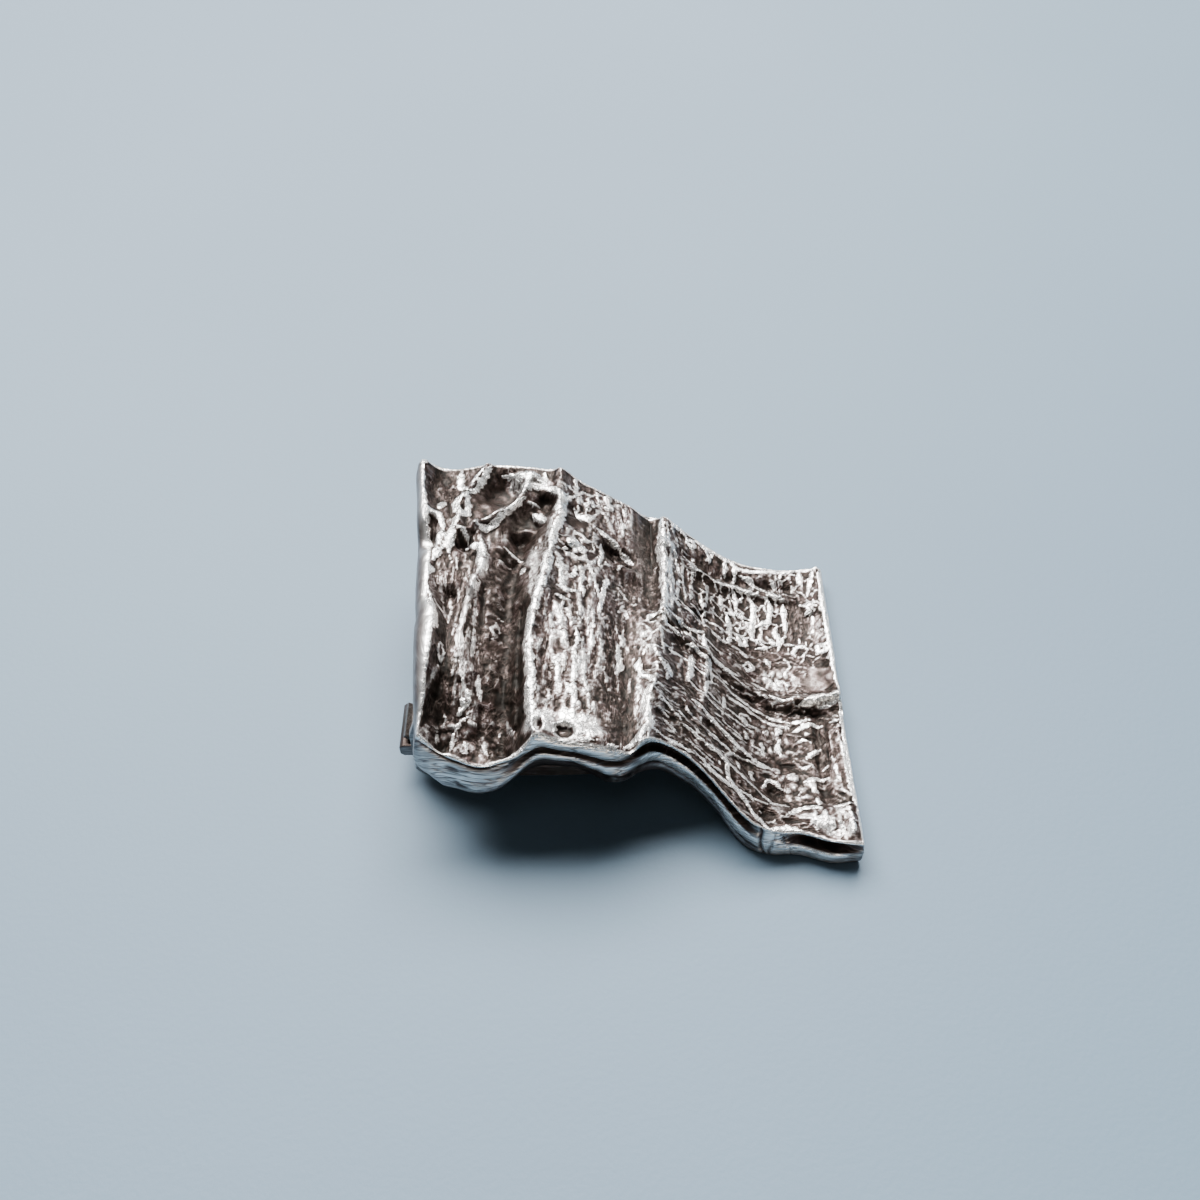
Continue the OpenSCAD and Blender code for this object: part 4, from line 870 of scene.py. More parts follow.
# %% [markdown]
# Height and wear
# Height is the wave, the folds, the pattern, the veins and the cuts together. Wear follows from it:
# rubbing brightens what stands above its surroundings, and oxide stays in the hollows, which are
# darkened further as painted shade.

# %% Height of the face
PATTERN_DEPTH, CUT_SHARE = 0.055, 0.55
VEIN_HEIGHT, VEIN_HEIGHT_BY_WIDTH, VEIN_UNEVEN = 0.03, 0.3, 0.35

def blur(field, reach):
    """Mean over a bell that reaches some cells to each side, repeated at the edges."""
    weights = np.exp(-(np.arange(-reach, reach + 1) / (0.5 * reach)) ** 2)
    weights /= weights.sum()
    for axis in (0, 1):
        pad = [(reach, reach) if a == axis else (0, 0) for a in (0, 1)]
        padded = np.pad(field, pad, mode="edge")
        size = field.shape[axis]
        field = sum(w * np.take(padded, range(k, k + size), axis) for k, w in enumerate(weights))
    return field

edge_fade = ease(edge_cells / 6)
pattern_height = PATTERN_DEPTH * contrast * texture * (1 - 0.8 * vein) * (0.4 + 0.6 * edge_fade)
uneven_top = 1 + VEIN_UNEVEN * noise(face_x / 0.25, face_y / 0.25, 0)
vein_height = vein * (VEIN_HEIGHT + VEIN_HEIGHT_BY_WIDTH * vein_width) * uneven_top
cut_height = CUT_SHARE * cut * cut_depth * (1 - vein)
fine_height = pattern_height + vein_height - cut_height
face_z = wave(share_u, share_v) + folds(plan_x, plan_y) + fine_height
print("relief, mm:", round(float(fine_height.min()), 2), "to", round(float(fine_height.max()), 2))

# %% Wear of the face
NEAR_CELLS, FAR_CELLS, CRISP_CELLS = 9, 28, 5
local = face_z - blur(face_z, NEAR_CELLS)
broad = face_z - blur(face_z, FAR_CELLS)
# Hollows, small and wide, are darkened: partly oxide, partly painted shade
polish = 0.92 * tone - 0.04 + 0.26 * contrast * texture + 0.5 * local + 0.3 * broad
# Thin dim veins are rubbed here and there only
missed = 1 - ease(0.75 + 1.6 * noise(face_x / 0.33, face_y / 0.33, 1))
thin = 1 - ease((vein_width - 0.12) / 0.06)
rubbed = ease((vein - 0.18) / 0.4) * (1 - 0.7 * missed * thin * (stroke_top < 0.89))
# Oxide stays at the foot of a bright vein
foot = ease(vein / 0.1) * (1 - rubbed)
polish -= 0.16 * foot * ease((vein_tone - 0.5) / 0.4)
polish += (vein_tone * (1 + 0.14 * rough_noise(face_x / 0.3, face_y / 0.4, 1)) - polish) * rubbed
polish *= 1 - 0.85 * cut * (1 - vein)
edge_tone = 0.95 + 0.1 * noise(face_x / 0.6, face_y / 0.6, 1)
polish += (edge_tone - polish) * (1 - ease(edge_cells / 2.6))
# Borders between bright and dark are made crisp
polish = np.clip(polish + 0.8 * (polish - blur(polish, CRISP_CELLS)), 0, 1)
print("mean polish:", round(float(polish.mean()), 2))

# %% [markdown]
# The side of the plate
# Round the edge the casting shows its thickness. Under the hump it parts into layers with dark gaps,
# and beside the slope a groove runs under the lip. Each stretch has a profile, read from the lip down,
# and the profiles blend from one stretch to the next.

# %% Side profiles
# How far out from the lip, share of the drop, and tone
TROUGH_SIDE = [
    (0, 0, 0.95), (0.08, 0.05, 0.85), (0.02, 0.08, 0.15), (0.2, 0.12, 0.62), (0.36, 0.28, 0.68),
    (0.52, 0.45, 0.68), (0.64, 0.6, 0.66), (0.66, 0.75, 0.63), (0.5, 0.9, 0.6), (0.2, 1, 0.45),
]
HUMP_SIDE = [
    (0, 0, 0.95), (0.22, 0.08, 0.76), (0.26, 0.24, 0.7), (0.12, 0.30, 0.55), (-0.14, 0.33, 0.05),
    (0.14, 0.43, 0.08), (0.28, 0.46, 0.8), (0.32, 0.60, 0.7), (0.08, 0.66, 0.3), (-0.1, 1, 0.15),
]
SLOPE_SIDE = [
    (0, 0, 1), (0.02, 0.08, 0.88), (-0.38, 0.12, 0.05), (-0.38, 0.27, 0.03), (0.1, 0.31, 0.06),
    (0.22, 0.34, 0.86), (0.3, 0.62, 0.73), (0.06, 0.72, 0.12), (0.16, 0.8, 0.62), (0.1, 1, 0.4),
]
BLOCK_SIDE = [
    (0, 0, 1), (0.05, 0.08, 0.85), (0.12, 0.14, 0.78), (0.2, 0.27, 0.76), (0.3, 0.36, 0.76),
    (0.38, 0.47, 0.75), (0.42, 0.62, 0.72), (0.45, 0.76, 0.68), (0.42, 0.9, 0.62), (0.25, 1, 0.45),
]
CORNER_SIDE = [
    (0, 0, 1), (0.02, 0.08, 0.85), (-0.36, 0.13, 0.05), (-0.38, 0.36, 0.03), (0.3, 0.41, 0.05),
    (0.42, 0.44, 0.9), (0.52, 0.6, 0.76), (0.5, 0.75, 0.7), (0.45, 0.9, 0.64), (0.3, 1, 0.45),
]
HINGE_SIDE = [
    (0, 0, 0.95), (0.45, 0.07, 0.58), (0.75, 0.17, 0.5), (0.9, 0.3, 0.5), (1, 0.45, 0.5),
    (1.03, 0.58, 0.5), (1, 0.7, 0.49), (0.9, 0.8, 0.47), (0.7, 0.9, 0.44), (0.2, 1, 0.38),
]
PLAIN_SIDE = [
    (0, 0, 0.95), (0.1, 0.06, 0.7), (0.12, 0.12, 0.55), (0.15, 0.22, 0.5), (0.16, 0.35, 0.5),
    (0.16, 0.5, 0.48), (0.15, 0.65, 0.46), (0.12, 0.78, 0.44), (0.06, 0.9, 0.4), (-0.1, 1, 0.35),
]
# Profiles that follow the trough's on the near side: where each starts, and over what length it comes in
NEAR_STRETCHES = [(HUMP_SIDE, -23, 1.5), (SLOPE_SIDE, -15.2, 1.4), (BLOCK_SIDE, -7.4, 1.6),
                  (CORNER_SIDE, -4.6, 1.2), (PLAIN_SIDE, -0.4, 0.9)]
STAGES = len(PLAIN_SIDE) - 1
print("stages from lip to back:", STAGES, "near stretches:", 1 + len(NEAR_STRETCHES))

# %% Height of the back
# x and height along the near edge of the back
NEAR_BACK_EDGE = [
    (-28.2, 5.8), (-26.8, 4.3), (-24.4, 4.3), (-23.2, 4.8), (-22, 5.3), (-20.2, 5.6), (-18.3, 5.7),
    (-17.3, 5), (-16.3, 4.3), (-15.3, 4.5), (-14.3, 4.5), (-12.8, 3.7), (-11.3, 2.8), (-10, 2.3),
    (-8.3, 1.4), (-7, 0.3), (-6, 0), (0.6, 0),
]
EDGE_SHARE = 0.12
FLAT_FROM, FLAT_RUN = -6, 3

def back_height(u, v):
    """Height of the back, as in the solid: level with the table at the low end."""
    x = plan(u, v)[0]
    at_edge = ease(1 - v / EDGE_SHARE)
    blended = (wave(u, v) - THICKNESS) * (1 - at_edge) + table(NEAR_BACK_EDGE, x) * at_edge
    return np.maximum(0, blended * (1 - ease((x - FLAT_FROM + FLAT_RUN) / FLAT_RUN)))

print("back at its middle, mm:", round(float(back_height(np.array([0.5]), np.array([0.5]))[0]), 2))

# %% Rim
def round_grid(long, wide):
    """Indices i and j of the points round a grid, from the near corner of the hinge end."""
    near, low = [(i, 0) for i in range(long)], [(long, j) for j in range(wide)]
    far, hinge = [(long - i, wide) for i in range(long)], [(0, wide - j) for j in range(wide)]
    return np.array(near + low + far + hinge).T

rim_i, rim_j = round_grid(CELLS_LONG, CELLS_WIDE)
rim_count = len(rim_i)
rim = np.stack([field[rim_j, rim_i] for field in (face_x, face_y, face_z)])
rim_x, rim_y, rim_z = rim
rim_u, rim_v = rim_i / CELLS_LONG, rim_j / CELLS_WIDE
rim_floor = back_height(rim_u, rim_v)
run = np.cumsum(np.hypot(rim_x - np.roll(rim_x, 1), rim_y - np.roll(rim_y, 1)))
print("outline, mm:", round(float(run[-1]), 1))

# %% Wall directions
PROFILE_TAPS, RIM_TAPS, ASIDE = range(-9, 10), range(-8, 9), 7

def averaged(field, taps):
    """Mean with the neighbours along the rim, for fields with the rim's points first."""
    return sum(np.roll(field, k, 0) for k in taps) / len(taps)

# The wall follows a smoothed rim, so that the lip's grain doesn't run down it in streaks
calm_rim = averaged(rim.T, RIM_TAPS).T
ahead = np.roll(rim[:2], -ASIDE, 1) - np.roll(rim[:2], ASIDE, 1)
ahead /= np.hypot(*ahead)
outward = np.stack([ahead[1], -ahead[0]])
print("wall leaves the rim by up to, mm:", round(float(np.abs(calm_rim - rim)[:2].max()), 2))

# %% Profile of every rim point
LAYER_SWAY, SWAY_LENGTH = 0.03, 1.6

def sway(layer):
    """How far the edges of one layer wander along the wall."""
    return LAYER_SWAY * noise(run / SWAY_LENGTH, 0 * run + 7 * layer, layer)[:, None]

def side_rows():
    """Profile of every rim point: three values for each of its stages."""
    x = rim_x[:, None, None]
    near = np.repeat(np.array(TROUGH_SIDE)[None], rim_count, 0)
    for following, start, length in NEAR_STRETCHES:
        near = near + (np.array(following) - near) * ease((x - start) / length)
    near[:, 1:3, 1] += 0.6 * sway(0)
    near[:, 3:5, 1] += sway(1)
    near[:, 6:8, 1] += sway(2)
    hinge = np.repeat(np.array(HINGE_SIDE)[None], rim_count, 0)
    hinge[:, :, 0] *= (0.4 + 0.85 * table(HINGE_BOW, rim_v) + 0.2 * ease((rim_v - 0.8) / 0.15))[:, None]
    on_near, on_hinge = (rim_j == 0)[:, None, None], (rim_i == 0)[:, None, None]
    rows = np.where(on_near, near, np.where(on_hinge, hinge, np.array(PLAIN_SIDE)))
    return averaged(rows, PROFILE_TAPS)

profile_rows = side_rows()
print("profiles:", len(profile_rows), "farthest out, mm:", round(float(profile_rows[:, :, 0].max()), 2))

# %% Marks on the wall
# Steps from the nearest corner of the outline, where nothing is smoothed
corners = np.array([0, CELLS_LONG, CELLS_LONG + CELLS_WIDE, 2 * CELLS_LONG + CELLS_WIDE, rim_count])
corner_gap = np.abs(np.arange(rim_count)[:, None] - corners).min(1)
# Below the hinge corner the near wall is the most scratched, and the hinge end's wall the least
side_wear = np.where(rim_i == 0, 0.15, np.where((rim_j == 0) & (rim_x < -22), 1.0, 0.45))
SCRATCH, SCRATCH_DEPTH, SCRATCH_SHADE = 0.8, 0.09, 0.55
# Leaning cracks part the low end's block from the slope: x, lean, half width, depth
BLOCK_CRACKS = [(-5.9, 0.5, 0.09, 0.2), (-5.2, -0.5, 0.06, 0.12), (-4.3, 1.1, 0.05, 0.08)]
CRACK_SHADE = 2.5
# A lump of metal hangs under the hump
LUMP_X, LUMP_HALF, LUMP_OUT = -15.4, 1.0, 0.32
lump = np.where(rim_j == 0, np.exp(-((rim_x - LUMP_X) / LUMP_HALF) ** 2), 0)
print("cracks in the block:", len(BLOCK_CRACKS))

# %% Side points
SIDE_RINGS, SIDE_LIGHT = 18, 1.13

def side_ring(share):
    """Points and tones of the wall at one share of the way from the lip to the back."""
    stage = share * STAGES
    low = min(STAGES - 1, int(stage))
    above, below = profile_rows[:, low], profile_rows[:, low + 1]
    out, drop, level_tone = (above * (low + 1 - stage) + below * (stage - low)).T
    settled = ease(share / 0.12) * (1 - ease((9 - corner_gap) / 6))
    base_x, base_y, base_z = rim + (calm_rim - rim) * settled
    depth = drop * (base_z - rim_floor)
    # Laps and scratches run along the wall, and cracks down it
    laps = noise(run / 2.6, depth / 0.3 + 3, 0) + 0.3 * noise(run / 0.9, depth / 0.24, 1)
    scratch = SCRATCH * ease((laps - 0.62) / 0.25) * side_wear
    wobble = 0.12 * noise(depth / 0.35, rim_x / 1.5, 1)
    crack = sum(cut_in * np.exp(-((rim_x - x - wobble - lean * (share - 0.5)) / half) ** 2)
                for x, lean, half, cut_in in BLOCK_CRACKS)
    crack = np.where(rim_j == 0, crack, 0)
    fade = ease(6 * min(share, 1 - share))
    dents = 0.02 * laps * side_wear - SCRATCH_DEPTH * scratch + 0.02 * noise(run / 1.1, depth / 0.6, 2)
    hanging = lump * ease((share - 0.7) / 0.12)
    out = out + fade * (dents - crack) + LUMP_OUT * hanging
    lump_shade = noise(run / 0.3, depth / 0.3, 0) - 1 + 1.6 * ease((share - 0.9) / 0.08)
    marks = SCRATCH_SHADE * scratch + CRACK_SHADE * crack
    shade = 0.05 * laps - fade * marks + 0.5 * hanging * lump_shade
    points = np.stack([base_x + outward[0] * out, base_y + outward[1] * out, base_z - depth], 1)
    return points, np.clip(SIDE_LIGHT * level_tone + shade, 0, 1)

rings = [side_ring(share) for share in np.linspace(0, 1, SIDE_RINGS + 1)[1:]]
side_points, side_tone = (np.concatenate(made) for made in zip(*rings))
print("points on the wall:", len(side_points))

# %% [markdown]
# Back and mesh
# The back has a fifth of the face's grid, because it's plain. A seam of small faces joins its rim to the
# lowest ring of the wall, so that face, wall and back are one closed skin with every face outwards.

# %% Back points
BACK_STEP, BACK_MARGIN, RIPPLE = 5, 0.03, 0.05
back_long, back_wide = CELLS_LONG // BACK_STEP, CELLS_WIDE // BACK_STEP

def inner_shares(count):
    """Even shares that stay a little inside the edge."""
    return BACK_MARGIN + (1 - 2 * BACK_MARGIN) * np.arange(count + 1) / count

back_v, back_u = np.meshgrid(inner_shares(back_wide), inner_shares(back_long), indexing="ij")
back_x, back_y = plan(back_u, back_v)
back_z = back_height(back_u, back_v)
ripple = RIPPLE * rough_noise(back_x / 2.2, back_y / 2.2, 2)
ripple += 0.4 * RIPPLE * noise(back_x / 0.8, back_y / 0.8, 3)
back_z = back_z + np.where(back_z > 0.3, ripple, 0)
back_points = np.stack([back_x, back_y, back_z], 2).reshape(-1, 3)
back_tone = np.clip(0.5 + 0.25 * rough_noise(back_x / 1.8, back_y / 1.8, 0), 0, 1).ravel()
print("points on the back:", len(back_points))

# %% Faces of the plate
face_count = face_x.size
back_start = face_count + len(side_points)

def grid_faces(start, long, wide, upward):
    """Squares of a grid whose points are numbered from a start, row by row."""
    j, i = np.meshgrid(np.arange(wide), np.arange(long), indexing="ij")
    a = (start + j * (long + 1) + i).ravel()
    square = [a, a + 1, a + long + 2, a + long + 1]
    return np.stack(square if upward else square[::-1], 1).tolist()

# Point numbers of the rim and of each ring below it, and the same moved on by one
ring_numbers = np.arange(face_count, back_start).reshape(SIDE_RINGS, -1)
wall = np.vstack([rim_j * (CELLS_LONG + 1) + rim_i, ring_numbers])
onward = np.roll(wall, -1, 1)
side_faces = np.stack([wall[:-1], wall[1:], onward[1:], onward[:-1]], 2).reshape(-1, 4).tolist()

# Five steps of the lowest ring meet one step of the back's rim
back_i, back_j = round_grid(back_long, back_wide)
back_rim = back_start + back_j * (back_long + 1) + back_i
steps = np.stack([np.roll(wall[-1], -m)[::BACK_STEP] for m in range(BACK_STEP + 1)], 1)
seam_faces = []
for here, after, ring in zip(back_rim.tolist(), np.roll(back_rim, -1).tolist(), steps.tolist()):
    a, b, c, d, e, f = ring
    seam_faces += [(a, here, b), (b, here, c), (c, here, after, d), (d, after, e), (e, after, f)]
print("faces of the wall:", len(side_faces), "of the seam:", len(seam_faces))

# %% Plate mesh
NEAR_SIDE_GRAIN, SIDE_GRAIN, BACK_GRAIN = 0.9, 0.25, 0.4

def to_row(points):
    """Drawn places in millimetres to metres in the part's frame."""
    return (np.asarray(points, float) + ORIGIN_SHIFT) * MM

def give_polish(obj, values, weave=(0, 0, 1)):
    """Stores the wear of every point, from 0, oxide, to 1, rubbed, and how its fine grain runs: a share
    of strands, or -1 for level streaks, a share of slanting flow, and the strength of the grain."""
    attribute = obj.data.attributes.new("polish", "FLOAT", "POINT")
    attribute.data.foreach_set("value", np.asarray(values, np.float32))
    attribute = obj.data.attributes.new("weave", "FLOAT_VECTOR", "POINT")
    weave = np.broadcast_to(np.asarray(weave, np.float32), (len(obj.data.vertices), 3))
    attribute.data.foreach_set("vector", weave.ravel())

face_points = np.stack([face_x, face_y, face_z], 2).reshape(-1, 3)
plate_points = np.concatenate([face_points, side_points, back_points])
plate_faces = (grid_faces(0, CELLS_LONG, CELLS_WIDE, True) + side_faces
               + grid_faces(back_start, back_long, back_wide, False) + seam_faces)
cast_plate = plain_mesh("cast_plate", to_row(plate_points), plate_faces)
weave = np.zeros((len(plate_points), 3))
weave[:face_count] = np.stack([mix["strands"], mix["flow"], 1 - 0.5 * mix["smooth"]], 2).reshape(-1, 3)
weave[face_count:back_start, 0] = -1
weave[face_count:back_start, 2] = np.tile(np.where(rim_j == 0, NEAR_SIDE_GRAIN, SIDE_GRAIN), SIDE_RINGS)
weave[back_start:, 2] = BACK_GRAIN
give_polish(cast_plate, np.concatenate([polish.ravel(), side_tone, back_tone]), weave)
cast_plate.data.shade_smooth()
print("plate points:", len(plate_points), "faces:", len(plate_faces))

# %% [markdown]
# Blackened silver
# Silver of this kind is dipped to blacken it and then rubbed, so one surface goes from near black
# brown through grey to white metal. The group below turns the stored wear into colour, roughness and
# fine height, and adds grain that is too small for the mesh. The plate, the cradle, the lever and the
# leaf all use it with their own values.

# %% Wear group
# Lines of the grain, for the broad crests, the fine crests and the cracks: scale against the grain's own,
# and how fast a line fades
CRESTS, FINE_CRESTS, CRACKS = (0.55, 9.0), (1.2, 6.0), (0.65, 12.0)
# Turn and stretch of each run of the grain
RUNS = [("even grain", 0, (1, 1, 1)), ("strand grain", 0, (1.15, 0.3, 1)),
        ("slanting grain", 28, (0.3, 1.15, 1)), ("layered grain", 0, (0.14, 0.14, 1.5))]
BEND, CRACK_SHIFT = 0.22 * MM, (0.37, 0.11, 0.05)
OXIDE_COOL = [(0.0, (0.004, 0.004, 0.003)), (0.2, (0.016, 0.014, 0.011)), (0.4, (0.050, 0.046, 0.038)),
              (0.56, (0.145, 0.14, 0.128)), (0.74, (0.47, 0.465, 0.45)), (0.9, (0.98, 0.975, 0.96))]
OXIDE_WARM = [(0.0, (0.006, 0.004, 0.003)), (0.2, (0.026, 0.015, 0.012)), (0.4, (0.072, 0.046, 0.045)),
              (0.56, (0.165, 0.13, 0.132)), (0.74, (0.47, 0.45, 0.445)), (0.9, (0.98, 0.975, 0.96))]
SURFACE = {"Roughness": [(0.0, 0.46), (0.35, 0.38), (0.7, 0.32), (1.0, 0.26)],
           "Metallic": [(0.0, 0.35), (0.35, 0.6), (0.6, 0.85), (1.0, 0.88)],
           "Specular": [(0.0, 0.1), (0.4, 0.25), (0.7, 0.5)]}

def worn_silver_group():
    """From wear and the run of the grain to colour, roughness, metal share, specular and fine height."""
    group = bpy.data.node_groups.new("worn_silver", "ShaderNodeTree")
    face = group.interface
    face.new_socket("Polish", in_out="INPUT", socket_type="NodeSocketFloat").default_value = 0.5
    face.new_socket("Weave", in_out="INPUT", socket_type="NodeSocketVector")
    for name, default in (("Grain", 0.3), ("Grain Size", 0.12), ("Oxide Warmth", 0.5)):
        face.new_socket(name, in_out="INPUT", socket_type="NodeSocketFloat").default_value = default
    face.new_socket("Colour", in_out="OUTPUT", socket_type="NodeSocketColor")
    for name in (*SURFACE, "Height"):
        face.new_socket(name, in_out="OUTPUT", socket_type="NodeSocketFloat")
    given, result = group.nodes.new("NodeGroupInput"), group.nodes.new("NodeGroupOutput")

    def times(a, b, clamp=False):
        return maths(group, "MULTIPLY", a, b, clamp)

    def plus(a, b, clamp=False):
        return maths(group, "ADD", a, b, clamp)

    def less(a, b, clamp=False):
        return maths(group, "SUBTRACT", a, b, clamp)

    polished = given.outputs["Polish"]
    spot = add(group, "ShaderNodeTexCoord").outputs["Object"]
    size = maths(group, "DIVIDE", 1 / MM, given.outputs["Grain Size"])
    weave = add(group, "ShaderNodeSeparateXYZ", "weave", Vector=given.outputs["Weave"]).outputs

    def lines(label, place, kind):
        """Thin lines between the cells of a bent net."""
        scale, sharpness = kind
        away = add(group, "ShaderNodeTexVoronoi", label, feature="DISTANCE_TO_EDGE", Vector=place,
                   Scale=times(size, scale)).outputs["Distance"]
        return less(1.0, times(away, sharpness), clamp=True)

    def grain(label, turn, stretch):
        """Cloud, bright crests and dark cracks, drawn out along one direction."""
        place = add(group, "ShaderNodeMapping", label, Vector=spot, Rotation=(0, 0, math.radians(turn)),
                    Scale=stretch).outputs["Vector"]
        wobble = add(group, "ShaderNodeTexNoise", label + " wobble", Vector=place, Scale=size, Detail=2)
        nudge = add(group, "ShaderNodeVectorMath", label + " nudge", operation="MULTIPLY_ADD")
        group.links.new(wobble.outputs["Color"], nudge.inputs[0])
        nudge.inputs[1].default_value = (BEND,) * 3
        group.links.new(place, nudge.inputs[2])
        place = nudge.outputs["Vector"]
        shifted = add(group, "ShaderNodeMapping", label + " shift", Vector=place, Location=CRACK_SHIFT)
        cloud = add(group, "ShaderNodeTexNoise", label, Vector=place, Scale=size, Detail=4, Roughness=0.6,
                    Distortion=0.4).outputs["Fac"]
        fine_lines = times(lines(label + " fine crests", place, FINE_CRESTS), 0.6)
        crests = maths(group, "MAXIMUM", lines(label + " crests", place, CRESTS), fine_lines)
        return cloud, crests, lines(label + " cracks", shifted.outputs["Vector"], CRACKS)

    def blend(a, b, share):
        """From a to b by a share."""
        return plus(times(a, less(1.0, share)), times(b, share))

    strand_share, layer_share = times(weave["X"], 1.0, clamp=True), times(weave["X"], -1.0, clamp=True)
    cloud, crests, cracks = [
        blend(blend(blend(even, strand, strand_share), slant, weave["Y"]), layered, layer_share)
        for even, strand, slant, layered in zip(*(grain(*row) for row in RUNS))]
    # Crests show where oxide is, in patches, and cracks where metal is
    bare = times(less(polished, 0.45), 3.0, clamp=True)
    patches = add(group, "ShaderNodeTexNoise", "patches", Vector=spot, Scale=times(size, 0.22), Detail=1)
    shown = times(less(patches.outputs["Fac"], 0.36), 5.0, clamp=True)
    raised = times(times(crests, shown), less(1.0, times(bare, 0.6)))
    lines_height = less(times(raised, 1.2), times(times(cracks, bare), 1.1))
    fine = plus(times(less(cloud, 0.5), 1.3), lines_height)
    amount = times(given.outputs["Grain"], weave["Z"])
    worn = plus(polished, times(fine, times(amount, 2.0)), clamp=True)
    # The oxide's colour drifts from cool to warm
    blotch = add(group, "ShaderNodeTexNoise", "blotches", Vector=spot, Scale=700, Detail=3).outputs["Fac"]
    tint = plus(blotch, less(given.outputs["Oxide Warmth"], 0.5), clamp=True)
    colour = add(group, "ShaderNodeMix", "tarnish", data_type="RGBA")
    group.links.new(tint, colour.inputs["Factor"])
    group.links.new(ramp(group, worn, OXIDE_COOL), colour.inputs[6])
    group.links.new(ramp(group, worn, OXIDE_WARM), colour.inputs[7])
    group.links.new(colour.outputs[2], result.inputs["Colour"])
    for output, stops in SURFACE.items():
        group.links.new(ramp(group, worn, stops), result.inputs[output])
    group.links.new(times(fine, weave["Z"]), result.inputs["Height"])
    return group

worn_silver = worn_silver_group()
print("worn_silver nodes:", len(worn_silver.nodes))

# %% Silver materials
def silver(name, grain, grain_size, warmth, bump):
    """A material that reads the piece's own polish."""
    made, tree, shader = material(name)
    stored = add(tree, "ShaderNodeAttribute", "polish", attribute_name="polish").outputs["Fac"]
    wear = tree.nodes.new("ShaderNodeGroup")
    wear.node_tree = worn_silver
    tree.links.new(stored, wear.inputs["Polish"])
    run = add(tree, "ShaderNodeAttribute", "weave", attribute_name="weave").outputs["Vector"]
    tree.links.new(run, wear.inputs["Weave"])
    for socket, value in (("Grain", grain), ("Grain Size", grain_size), ("Oxide Warmth", warmth)):
        wear.inputs[socket].default_value = value
    bumped = add(tree, "ShaderNodeBump", "grain", Distance=bump * MM, Height=wear.outputs["Height"])
    for source, target in (("Colour", "Base Color"), ("Roughness", "Roughness"), ("Metallic", "Metallic"),
                           ("Specular", "Specular IOR Level")):
        tree.links.new(wear.outputs[source], shader.inputs[target])
    tree.links.new(bumped.outputs["Normal"], shader.inputs["Normal"])
    return made

# Grain, its size in mm, warmth of the oxide, depth of the grain in mm
plate_silver = silver("plate_silver", 0.12, 0.26, 0.6, 0.02)
cradle_silver = silver("cradle_silver", 0.08, 0.2, 0.4, 0.008)
lever_silver = silver("lever_silver", 0.1, 0.25, 0.45, 0.008)
leaf_steel = silver("leaf_steel", 0.06, 0.2, 0.3, 0.005)
cast_plate.data.materials.append(plate_silver)
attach(cast_plate, "plate")
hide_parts("front_plate")
print("finishes:", [m.name for m in (plate_silver, cradle_silver, lever_silver, leaf_steel)])

# %% [markdown]
# Hinge cradle
# Two ears with round holes carry the lever, and a base joins them to the back of the plate. Each ear
# is a flat outline with a hole, so it's drawn as a closed curve with a thickness and a soft bevel,
# turned into a mesh, and then stood up.

# %% Cradle outlines
PIVOT = np.array([-27, 9.8, 2.6])
CRADLE_WIDTH, EAR_THICKNESS, EAR_HOLE_R = 5.0, 0.6, 1.15
EAR_BACK, EAR_FRONT, EAR_ROUND_R = -2.4, 2.3, 3.2
EAR_MIDDLE = (0.2, 0.6)

def ear_outline():
    """Ear from the side, from the pivot: round below, leaning forward above."""
    points = []
    for angle in np.linspace(180, 360, 49):
        x = EAR_MIDDLE[0] + EAR_ROUND_R * math.cos(math.radians(angle))
        z = EAR_MIDDLE[1] + EAR_ROUND_R * math.sin(math.radians(angle))
        points.append((min(EAR_FRONT, max(EAR_BACK, x)), z))
    return points + [(EAR_FRONT, 4.9), (-1.2, 6.6), (EAR_BACK, 2.9)]

def circle_outline(radius, count=48):
    """A round hole, as places round its edge."""
    turns = [2 * math.pi * n / count for n in range(count)]
    return [(radius * math.cos(turn), radius * math.sin(turn)) for turn in turns]

print("ear outline:", len(ear_outline()), "places")

# %% Slabs
def standing_slab(name, outlines, thickness, bevel):
    """Closed outlines with a thickness, as points from the pivot with y across."""
    curve = bpy.data.curves.new(name, "CURVE")
    curve.dimensions, curve.fill_mode = "2D", "BOTH"
    curve.extrude = (thickness / 2 - bevel) * MM
    curve.bevel_depth, curve.bevel_resolution, curve.offset = bevel * MM, 2, -bevel * MM
    for outline in outlines:
        spline = curve.splines.new("POLY")
        spline.points.add(len(outline) - 1)
        spline.points.foreach_set("co", [c for x, z in outline for c in (x * MM, z * MM, 0, 1)])
        spline.use_cyclic_u = True
    holder = add_object(name, curve)
    mesh = bpy.data.meshes.new_from_object(holder.evaluated_get(bpy.context.evaluated_depsgraph_get()))
    bpy.data.objects.remove(holder)
    form = bmesh.new()
    form.from_mesh(mesh)
    bmesh.ops.remove_doubles(form, verts=form.verts, dist=1e-6)
    for vertex in form.verts:
        x, z, y = vertex.co
        vertex.co = (x, y, z)
    bmesh.ops.recalc_face_normals(form, faces=form.faces)
    bpy.data.meshes.remove(mesh)
    print(name, "mm thick:", thickness, "points:", len(form.verts))
    return form

def join(forms_and_shifts, name):
    """One object from several forms, each moved from the pivot by a shift in y."""
    joined = bmesh.new()
    for form, shift in forms_and_shifts:
        part = bpy.data.meshes.new("part")
        form.to_mesh(part)
        form.free()
        count = len(joined.verts)
        joined.from_mesh(part)
        joined.verts.ensure_lookup_table()
        place = Vector(to_row(PIVOT + np.array([0, shift, 0])))
        for vertex in joined.verts[count:]:
            vertex.co += place
        bpy.data.meshes.remove(part)
    mesh = bpy.data.meshes.new(name)
    joined.to_mesh(mesh)
    open_edges = sum(len(e.link_faces) != 2 for e in joined.edges)
    joined.free()
    print(name, "points:", len(mesh.vertices), "open edges:", open_edges)
    return add_object(name, mesh)

